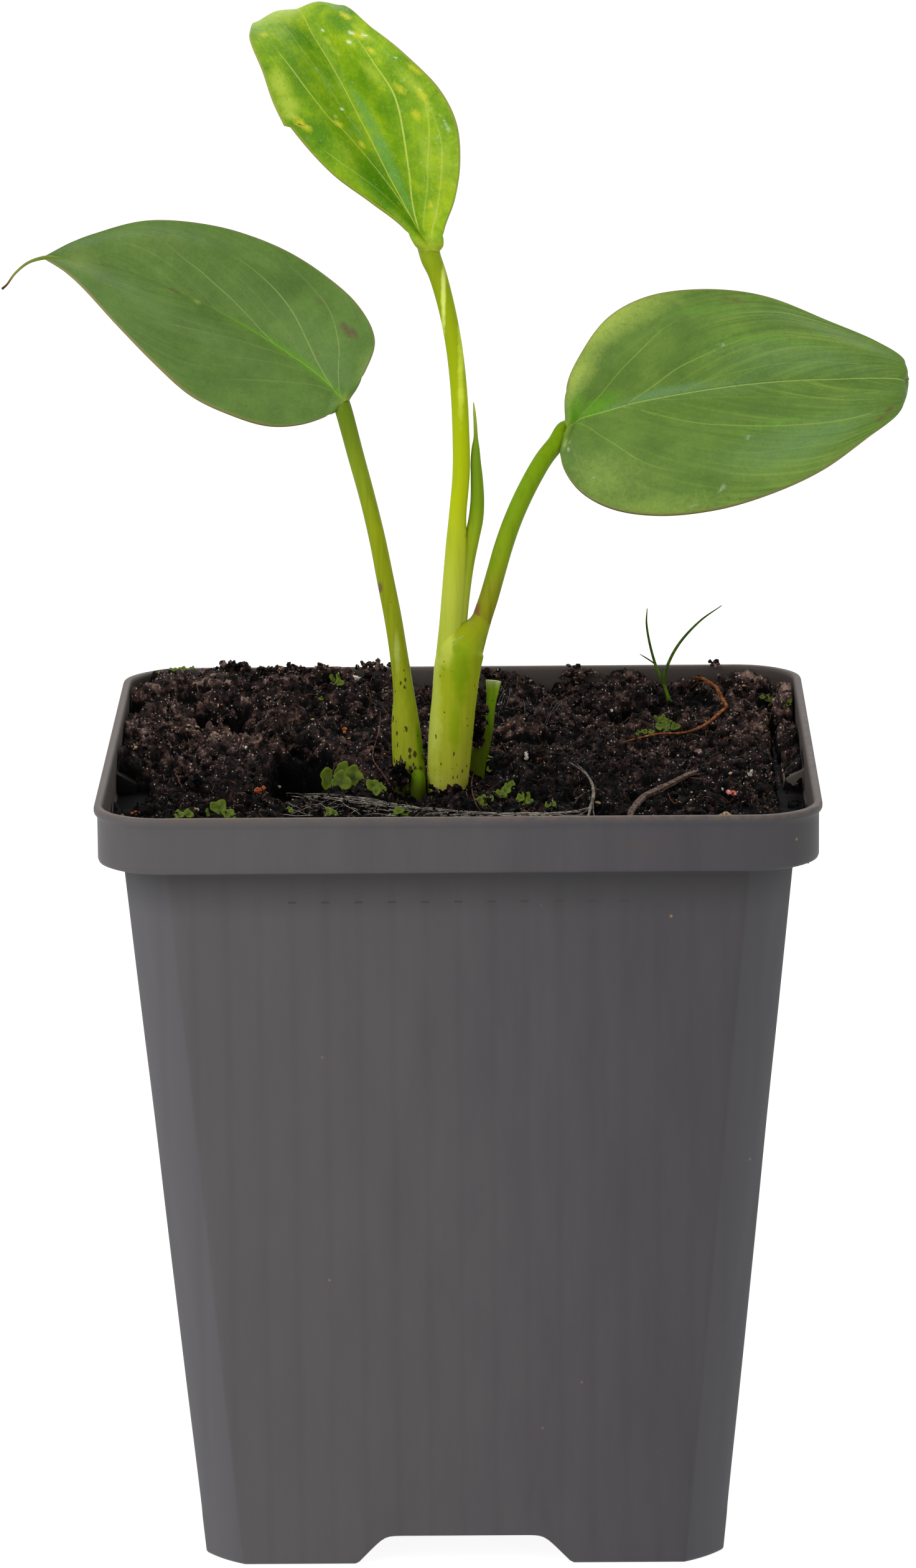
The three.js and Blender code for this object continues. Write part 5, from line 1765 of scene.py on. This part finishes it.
RIGHT_PATCHES = {
    "lush": ((0.06, 0.25, 0.1, 0.5, 0.95), (0.16, 0.12, 0.1, 0.2, 0.95), (0.58, 0.42, 0.14, 0.07, 0.4),
             (0.6, -0.43, 0.14, 0.05, 0.35), (0.5, 0.75, 0.12, 0.1, 0.35)),
    "pale": ((0.3, 1.05, 0.17, 0.35, 0.95), (0.15, 0.9, 0.12, 0.4, 0.8), (0.55, 0.3, 0.2, 0.12, 0.2),
             (0.25, -0.8, 0.15, 0.35, 0.35), (0.4, -0.95, 0.2, 0.15, 0.35), (0.06, -0.75, 0.03, 0.2, 0.6)),
    "haze": ((0.36, 0.04, 0.13, 0.07, 0.75), (0.24, 0.03, 0.08, 0.05, 0.5), (0.62, 0.25, 0.2, 0.3, 0.4),
             (0.65, -0.65, 0.2, 0.25, 0.5), (0.5, 0, 0.15, 0.12, 0.35), (0.97, 0, 0.035, 1.2, 0.75)),
    "scar": ((0.925, 0.03, 0.012, 0.08, 0.7), (0.965, 0.1, 0.02, 0.5, 0.6), (0.832, -0.8, 0.016, 0.05, 0.8),
             (0.86, -0.71, 0.018, 0.06, 0.8), (0.552, 0.88, 0.02, 0.03, 0.62),
             (0.534, 0.9, 0.012, 0.02, 0.6)),
    "scratch": ((0.507, -0.84, 0.005, 0.03, 0.8), (0.5, -0.87, 0.005, 0.02, 0.45),
                (0.493, -0.9, 0.01, 0.012, 0.45), (0.478, -0.92, 0.01, 0.01, 0.5),
                (0.458, -0.94, 0.016, 0.01, 0.6), (0.105, -0.72, 0.012, 0.05, 0.7),
                (0.09, -0.6, 0.006, 0.06, 0.6), (0.5, 0.37, 0.005, 0.015, 0.8),
                (0.231, -0.8, 0.005, 0.015, 0.8), (0.54, -0.5, 0.004, 0.03, 0.6)),
}
CENTRE_VEINS = (
    Vein(((0.12, -0.1), (0.193, -0.18), (0.221, -0.22), (0.279, -0.31), (0.336, -0.36), (0.403, -0.42),
          (0.467, -0.49), (0.517, -0.53), (0.601, -0.55), (0.655, -0.6), (0.75, -0.62)), 0.13, 0.8, 0.6),
    Vein(((0.15, 0.03), (0.207, 0.07), (0.248, 0.09), (0.307, 0.15), (0.357, 0.22), (0.4, 0.28),
          (0.433, 0.33), (0.469, 0.41), (0.508, 0.46), (0.577, 0.57), (0.612, 0.63), (0.66, 0.7)),
         0.13, 0.6, 0.85),
    Vein(((0.18, 0.3), (0.24, 0.42), (0.269, 0.47), (0.319, 0.63), (0.36, 0.75)), 0.15, 0.3),
    Vein(((0.08, -0.5), (0.141, -0.65), (0.212, -0.7), (0.276, -0.75), (0.345, -0.8), (0.431, -0.8),
          (0.52, -0.8)), 0.12, 0.4, 0.5),
    Vein(((0.12, -0.3), (0.186, -0.42), (0.252, -0.54), (0.312, -0.59), (0.386, -0.69), (0.441, -0.75),
          (0.507, -0.82)), 0.11, 0.3),
    Vein(((0.42, 0.12), (0.488, 0.17), (0.52, 0.19), (0.574, 0.23), (0.629, 0.3), (0.7, 0.36)), 0.11, 0.22),
)
CENTRE_PATCHES = {
    "lush": ((0.25, 0.3, 0.16, 0.5, 0.85), (0.58, 0.55, 0.12, 0.25, 0.7), (0.42, 0.75, 0.07, 0.3, 0.65),
             (0.68, 0.2, 0.08, 0.25, 0.7), (0.5, -0.32, 0.12, 0.14, 0.55), (0.72, -0.55, 0.05, 0.3, 0.6),
             (0.4, -0.62, 0.12, 0.12, 0.3), (0.14, 0.2, 0.1, 0.5, 0.6)),
    # pale: paler skin, and painted reflections of the soft light on the glossy bumps and on the band below
    # the folded-back tip.
    "pale": ((0.8, 0.4, 0.06, 0.9, 0.85), (0.86, -0.1, 0.08, 1.2, 0.6), (0.5, 0.84, 0.035, 0.19, 1),
             (0.55, 0.84, 0.055, 0.17, 0.95), (0.475, 0.88, 0.02, 0.14, 1), (0.562, -0.44, 0.05, 0.1, 0.6),
             (0.524, -0.79, 0.06, 0.12, 0.6), (0.331, -0.61, 0.09, 0.12, 0.5),
             (0.465, -0.77, 0.06, 0.1, 0.5), (0.3, -0.82, 0.12, 0.2, 0.45), (0.68, -0.18, 0.02, 0.05, 0.9),
             (0.65, -0.18, 0.02, 0.04, 0.6), (0.686, -0.77, 0.04, 0.1, 0.9), (0.66, -0.46, 0.02, 0.06, 0.9),
             (0.162, -0.64, 0.05, 0.2, 0.5), (0.355, 0.48, 0.05, 0.12, 0.4)),
    "haze": ((0.491, -0.11, 0.06, 0.08, 0.75), (0.44, -0.11, 0.06, 0.1, 0.8),
             (0.369, -0.1, 0.08, 0.12, 0.85), (0.29, -0.1, 0.08, 0.13, 0.85), (0.22, -0.1, 0.06, 0.12, 0.7),
             (0.553, 0.03, 0.05, 0.05, 0.5), (0.562, 0.2, 0.06, 0.1, 0.4), (0.414, 0.14, 0.05, 0.08, 0.5)),
    "gold": ((0.446, 0.8, 0.025, 0.1, 0.85), (0.441, 0.32, 0.014, 0.06, 0.8),
             (0.381, 0.17, 0.014, 0.06, 0.75), (0.746, -0.74, 0.015, 0.1, 0.8),
             (0.627, -0.64, 0.015, 0.06, 0.8), (0.514, -0.61, 0.02, 0.06, 0.7),
             (0.441, -0.63, 0.02, 0.06, 0.7), (0.193, -0.54, 0.015, 0.06, 0.6),
             (0.486, -0.8, 0.03, 0.06, 0.7), (0.701, 0.78, 0.02, 0.1, 0.5), (0.681, -0.66, 0.02, 0.08, 0.8),
             (0.564, -0.95, 0.02, 0.06, 0.7)),
    "scar": ((0.447, 0.81, 0.005, 0.03, 0.95), (0.539, 0.35, 0.004, 0.014, 0.9),
             (0.76, -0.93, 0.004, 0.02, 0.9), (0.498, -0.98, 0.005, 0.02, 0.8),
             (0.383, 0.69, 0.004, 0.012, 0.8), (0.395, 0.77, 0.003, 0.03, 0.7)),
    # Painted highlights on the glossy skin.
    "painted_highlight": ((0.714, -0.22, 0.006, 0.03, 0.9), (0.662, -0.46, 0.008, 0.04, 0.8),
              (0.479, 0.17, 0.005, 0.03, 0.8), (0.69, -0.6, 0.008, 0.05, 0.8),
              (0.68, -0.75, 0.006, 0.06, 0.7), (0.46, 0.3, 0.005, 0.03, 0.6),
              (0.6, -0.86, 0.006, 0.04, 0.5), (0.4, -0.9, 0.02, 0.03, 0.4)),
}


def ribs(count: int, depth: float) -> Place:
    """A stalk section with lengthwise ribs."""
    return lambda u, v: 1 + depth * np.cos(2 * np.pi * count * u)


@dataclass
class Calla:
    """The plant: three leaves on their stalks, a rolled young leaf and an old sheath."""

    left_skin: Leaf = Leaf("left_leaf_skin", neck="#6f8426")
    right_skin: Leaf = Leaf(
        "right_leaf_skin", deep="#43601b", mid="#526f24", bright="#617d2c", vein="#7f973c", rib="#8a9f47",
        margin="#746c3a", neck="#658012", streak=0.75, rib_reach=1.2,
        marks=(("lush", "#568912", 1.5), ("pale", "#8fa242", 0.7), ("haze", "#5c7e4c", 0.8),
               ("scar", "#61452b", 1.3), ("scratch", "#96a182", 1.0)))
    young_skin: Leaf = Leaf(
        "young_leaf_skin", deep="#57810c", mid="#739714", bright="#91ab11", vein="#b9c660", rib="#b2bd42",
        margin="#879134", neck="#8a9a20", roughness=0.34, gloss=0.16, rib_width=0.13, rib_reach=1.1,
        mottle=230.0, spread=0.15, streak=0.15,
        # The pale mark is paler skin with painted reflections of the soft light in places.
        marks=(("lush", "#44760e", 0.9), ("pale", "#9bb136", 0.9), ("haze", "#659540", 0.6),
               # The last mark is painted highlights on the glossy skin.
               ("gold", "#bcbc2c", 1.2), ("scar", "#61401a", 1.0), ("painted_highlight", "#d8e3ca", 1.6)))
    pale: Stem = Stem(
        "pale_stalk_skin", streak="#859a12",
        stops=((97, "#97a03a"), (107, "#9fab38"), (120, "#a9b43c"), (126, "#a2ae26"), (132, "#a0ae08"),
               (142, "#96a606"), (156, "#82920c"), (164, "#748614")),
        # The last two spots are pale strips up the stalk's middle: paler skin with painted highlights on it.
        spots=(((1.2, -5.5, 127.4), (0.3, 1, 0.6), "#6a4620"), ((0.5, -2.5, 146), (0.5, 3, 9), "#b7c63a"),
               ((-1.6, -2, 157), (0.35, 3, 5), "#c0cc5e")))
    green: Stem = Stem(
        "green_stalk_skin", streak="#566a08", dirt=0.6,
        stops=((94, "#5f5a18"), (98, "#858e20"), (105, "#868f18"), (128, "#828e10"), (135, "#76881c"),
               (144, "#566c16")),
        spots=(((-9.9, -3.4, 120.6), (0.35, 1.2, 0.9), "#6b5a35"),
               ((-7.9, -5.5, 113), (0.5, 1.5, 4), "#98a54a"), ((-4.9, -5.6, 100), (0.8, 1.5, 5), "#5f7a06"),
               ((-5, -6.4, 95.2), (1.3, 2, 1.6), "#37420a")))
    slim: Stem = Stem(
        "right_stalk_skin", streak="#4c6a04",
        stops=((110, "#7e7e14"), (118, "#7f8014"), (121, "#7e861a"), (124, "#7a9012"), (130, "#6e8c0e"),
               (140, "#648204")),
        spots=(((2.3, -4.6, 117.5), (0.5, 1.5, 3.2), "#7a5a30"),
               ((4.2, -4, 124), (0.6, 1.5, 2.6), "#6d8a08")))
    sheath: Stem = Stem(
        "sheath_skin", streak="#788a0e", dirt=0.32,
        stops=((94, "#92903c"), (98, "#9fa22e"), (108, "#99a41c"), (113, "#8b9b14"), (115, "#858f10"),
               (117, "#7f8212")),
        spots=(((-3.4, -5, 106), (1.6, 4, 16), "#aab448"), ((-1.5, -6.5, 113.4), (1.5, 2.5, 2.6), "#a9b340"),
               ((0.4, -7.5, 110.4), (1.4, 2.2, 4.6), "#7a930c"),
               ((-0.6, -7.5, 103.5), (1, 2, 3.6), "#869a12"),
               ((-0.2, -7.8, 113.4), (0.7, 2, 0.9), "#7a9012")))
    spear: Stem = Stem(
        "spear_skin", streak="#55760a",
        stops=((116, "#9aa638"), (122, "#97a52c"), (126, "#8a9c1a"), (131, "#6c8810"), (138, "#66841a"),
               (143.5, "#98a63a")))
    membrane: Stem = Stem("sheath_membrane", stops=((113, "#7d8c2c"), (115, "#93a146")), streak="#6c7c24")
    stump: Stem = Stem(
        "old_sheath_skin", streak="#313f04",
        stops=((94, "#3f4a08"), (101, "#4a5a08"), (104, "#64860e"), (107, "#7d9f1c"), (107.8, "#b5b878")))
    wet: Stem = Stem(
        "wet_stump_skin", streak="#2f3a06", stops=((92, "#1d2208"), (95, "#39420a"), (97, "#587404")))
    drip: Stem = Stem(
        "drip_tip_skin", streak="#4f5f20",
        stops=((158.9, "#3c2418"), (159.6, "#6a4a28"), (160.3, "#7d7c3c"), (162, "#6a7c30")))

    def build(self) -> None:
        """Builds leaves and stalks."""
        left = LeafBlade("leaf_left_blade", "leaf_left", LEFT_LEAF, self.left_skin, LEFT_VEINS,
                         LEFT_PATCHES, tip=(-52.2, 2.0, 162.25))
        right = LeafBlade("leaf_right_blade", "leaf_right", RIGHT_LEAF, self.right_skin, RIGHT_VEINS,
                          RIGHT_PATCHES, phase=2.0, tip=(57.4, 5.8, 145.3))
        centre = LeafBlade("leaf_centre_blade", "leaf_centre", CENTRE_LEAF, self.young_skin,
                           CENTRE_VEINS, CENTRE_PATCHES, slot="young_leaf_green", phase=4.0,
                           ripple=0.35, fold=0.18, neck=1.1, neck_length=0.09, pinch=0.62,
                           notch=(0.445, 0.05, 0.85))
        for blade in (left, right, centre):
            blade.build()
        for blade, points, skin, name, nodes in (
                (left, LEFT_STEM, self.green, "stem_left_stalk", ("stem_left",)),
                (centre, CENTRE_STEM, self.pale, "stem_centre_stalk", ("stem_centre",)),
                (right, RIGHT_PETIOLE, self.slim, "stem_right_stalk", ())):
            shape = tube(blade.keel(points[0][3]) + points, 28, 260, section=ribs(9, 0.012))
            publish(shape, name, skin, nodes)
        for name, points, cells, flat, flutes, skin, slot, nodes in (
                ("main_sheath", RIGHT_SHEATH, (40, 100), 1, (13, 0.01), self.sheath, "stem_green",
                 ("stem_right",)),
                ("rolled_leaf_spear", ROLLED_LEAF, (20, 110), 1, (5, 0.03), self.spear, "sheath_green",
                 ("rolled_leaf",)),
                ("sheath_membrane_lip", SHEATH_MEMBRANE, (14, 40), 0.35, (1, 0), self.membrane,
                 "sheath_green", ()),
                ("cut_sheath_strip", CUT_SHEATH, (20, 60), 0.4, (1, 0), self.stump, "sheath_green",
                 ("cut_sheath",)),
                ("wet_stump_right", WET_STUMP, (20, 40), 1, (5, 0.04), self.wet, "stem_green", ()),
                ("wet_stump_left", WET_STUB, (16, 30), 1, (5, 0.05), self.wet, "stem_green", ()),
                ("leaf_left_tip", DRIP_TIP, (12, 40), 1, (1, 0), self.drip, "leaf_green", ())):
            shape = tube(points, *cells, flat=flat, section=ribs(*flutes))
            publish(shape, name, skin, nodes)


# ---- small pieces in the pot

@dataclass
class PotLitter:
    """What stands and lies in the pot beside the plant: fibre net, grass, root, husk and liverwort."""

    soil: Soil
    strand_radius: tuple = (0.025, 0.055)
    edge_strands: tuple = (46, (3, 13), (0.14, 0.34))  # how many, reaches and drops
    hanging_strands: tuple = (110, (-5, 5), (0.9, 0.9))
    lobe_thickness: float = 0.14

    def net(self, count: int, run: tuple, drop: tuple, seed: int) -> BMesh:
        """Strands of the fibre sleeve, on the soil.

        Args:
            count: how many strands.
            run: shortest and longest reach along the sleeve, in millimetres.
            drop: how far below the sleeve's edge they start and end at most, from 0 to 1.
            seed: the random seed.

        Returns:
            The strands.
        """
        rng = np.random.default_rng(seed)
        bm, block, angle, share = flock(4, 14, count)
        edge = np.array(FIBRE_NET)
        x = rng.uniform(-21.5, 14, (count, 1)) + rng.uniform(*run, (count, 1)) * (share - 0.5)
        x = np.clip(x, -22, 16.4)
        line = np.interp(x, edge[:, 0], edge[:, 1])
        start, stop = rng.uniform(0, drop[0], (count, 1)), rng.uniform(0, drop[1], (count, 1))
        below = (line + 25.5) * (start + (stop - start) * share) + 0.25 * np.sin(share * 9 + start * 70)
        lift = rng.uniform(0.05, 0.4, (count, 1)) + 0 * share
        spots = np.column_stack([x.ravel(), (line - below).ravel()])
        spots = self.soil.settle(spots, lift.ravel()).reshape(count, block, 3)
        thick = rng.uniform(*self.strand_radius, (count, 1)) * taper(share)
        spots[:, :, 1] += np.cos(angle) * thick
        spots[:, :, 2] += np.sin(angle) * thick
        move(bm, spots.reshape(-1, 3))
        paint(bm, "tint", np.repeat(rng.random(count), block))
        return close(bm)

    def liverwort(self) -> BMesh:
        """Lobes of liverwort, each a cupped round leaf with a wavy edge.

        Returns:
            The lobes, with their attribute reach from 0 in the middle to 1.
        """
        rng = np.random.default_rng(51)
        rows = np.array(LIVERWORT)
        count = len(rows)
        size, lean = rows[:, 2:3], np.radians(rows[:, 3:4])
        spots = self.soil.settle(rows, 0.15)
        spots[:, 2:3] += 0.3 * size * np.sin(lean)
        bm, _, turn, reach = flock(28, 6, count)
        phase = rng.uniform(0, 6.3, (count, 1))
        wavy = 1 + 0.14 * np.cos(3 * turn + phase) * reach + 0.05 * np.cos(7 * turn + 2 * phase)
        edge = size * reach * wavy
        a, b = edge * np.cos(turn), edge * np.sin(turn)
        cup = size * reach ** 2 * (0.25 + 0.14 * np.sin(4 * turn + phase))
        spin = rng.normal(0, 0.35, (count, 1))
        x = spots[:, 0:1] + a * np.cos(spin) - cup * np.sin(spin) * np.sin(lean)
        y = spots[:, 1:2] + a * np.sin(spin) * 0.6 + b * np.cos(lean) - cup * np.sin(lean)
        z = spots[:, 2:3] + b * np.sin(lean) + cup * np.cos(lean)
        move(bm, np.stack([x, y, z], 2).reshape(-1, 3))
        paint(bm, "reach", reach.ravel())
        bmesh.ops.remove_doubles(bm, verts=bm.verts, dist=1e-7)
        bmesh.ops.recalc_face_normals(bm, faces=bm.faces)
        return bm

    def build(self) -> None:
        """Builds the pieces."""
        fibre = Fibre("sleeve_fibre", dark="#4a433c", light="#b0a89c")
        publish(self.net(*self.edge_strands, 31), "fibre_net_strands", fibre, ("fibre_net",))
        publish(self.net(*self.hanging_strands, 32), "fibre_net_mesh", fibre)
        for number, path in enumerate(SLEEVE_STRIPS):
            publish(tube(self.soil.lay(path, 0.2), 8, 90), f"sleeve_strip_{number}", fibre)
        grass = Fibre("grass_skin", dark="#304a04", light="#6e8c14", roughness=0.55)
        publish(tube(GRASS_RIGHT, 12, 70), "grass_blade_right", grass, ("grass_seedling",))
        publish(tube(GRASS_LEFT, 12, 50), "grass_blade_left", grass)
        straw = Fibre("dry_grass", dark="#2c2018", light="#5b4838")
        publish(tube(DRY_STRAW, 8, 30), "dry_straw", straw)
        root = Fibre("loose_root_bark", dark="#5c2f12", light="#c0743a", scale=1300.0)
        shape = tube(self.soil.lay(LOOSE_ROOT, 0.2), 14, 160, across=(0, 0, 1), section=ribs(3, 0.1))
        publish(shape, "loose_root_strand", root, ("loose_root",))
        husk = Fibre("husk_bark", dark="#3a2a23", light="#8a7566", scale=1100.0)
        shape = tube(self.soil.lay(DRY_HUSK, 0.25), 24, 120, across=(0, 0, 1), flat=0.6,
                     section=ribs(5, 0.16))
        publish(shape, "dry_husk_strip", husk, ("dry_husk",))
        for number, path in enumerate(HUSK_FIBRES):
            publish(tube(self.soil.lay(path, 0.25), 6, 30), f"dry_husk_fibre_{number}", husk)
        piece = publish(self.liverwort(), "liverwort_lobes", Moss())
        thicken(piece, self.lobe_thickness, -1.0)


# ---- studio

@dataclass
class StudioSet:
    """Floor, soft lights and the camera, which stands where the plant is seen from."""

    lens: float = 174.9
    target: tuple = (-0.31, 0.0, 94.0)
    distance: float = 977.4
    pitch: float = 12.84
    yaw: float = 0.54
    roll: float = -0.496
    sensor: float = 36.0
    floor_half: float = 10.0
    aim: tuple = (0.0, 0.0, 0.1)
    lamps: tuple = (("key", (-0.8, -0.9, 0.9), 0.9, 9.0), ("fill", (0.2, 0.9, 1.2), 0.8, 5.0))

    def camera(self) -> None:
        """Sets the camera up at its measured place."""
        pitch, yaw, roll = (math.radians(a) for a in (self.pitch, self.yaw, self.roll))
        back = Vector((math.sin(yaw) * math.cos(pitch), -math.cos(yaw) * math.cos(pitch), math.sin(pitch)))
        right = Vector((math.cos(yaw), math.sin(yaw), 0))
        up = back.cross(right)
        side = right * math.cos(roll) + up * math.sin(roll)
        over = up * math.cos(roll) - right * math.sin(roll)
        data = bpy.data.cameras.new("camera")
        data.lens = self.lens
        data.sensor_width = self.sensor
        data.clip_end = 100.0
        camera = bpy.data.objects.new("camera", data)
        bpy.context.scene.collection.objects.link(camera)
        spot = (Vector(self.target) + back * self.distance) * MM
        turn = Matrix((side, over, back)).transposed()
        camera.matrix_world = Matrix.Translation(spot) @ turn.to_4x4()
        bpy.context.scene.camera = camera

    def light(self, name: str, spot: tuple, size: float, power: float) -> None:
        """Adds a soft square light.

        Args:
            name: its name.
            spot: where it hangs, in metres.
            size: its side, in metres.
            power: in watts.
        """
        data = bpy.data.lights.new(name, "AREA")
        data.shape = "SQUARE"
        data.size = size
        data.energy = power
        lamp = bpy.data.objects.new(name, data)
        bpy.context.scene.collection.objects.link(lamp)
        lamp.location = spot
        lamp.rotation_euler = (Vector(self.aim) - Vector(spot)).to_track_quat("-Z", "Y").to_euler()

    def build(self) -> None:
        """Builds the whole set."""
        bm = bmesh.new()
        bmesh.ops.create_grid(bm, x_segments=4, y_segments=4, size=self.floor_half)
        link(bm, "studio_floor", Studio())
        world = bpy.data.worlds.new("studio_world")
        world.use_nodes = True
        sky = world.node_tree.nodes["Background"]
        sky.inputs["Color"].default_value = (1, 1, 1, 1)
        sky.inputs["Strength"].default_value = 1.0
        bpy.context.scene.world = world
        bpy.context.scene.view_settings.view_transform = "Standard"
        for lamp in self.lamps:
            self.light(*lamp)
        self.camera()


def main() -> None:
    """Builds every piece in order."""
    logging.basicConfig(level=logging.INFO, format="%(name)s: %(message)s")
    StudioSet().build()
    Pot().build()
    soil = Soil()
    soil.build()
    Calla().build()
    PotLitter(soil).build()


if __name__ == "__main__":
    main()
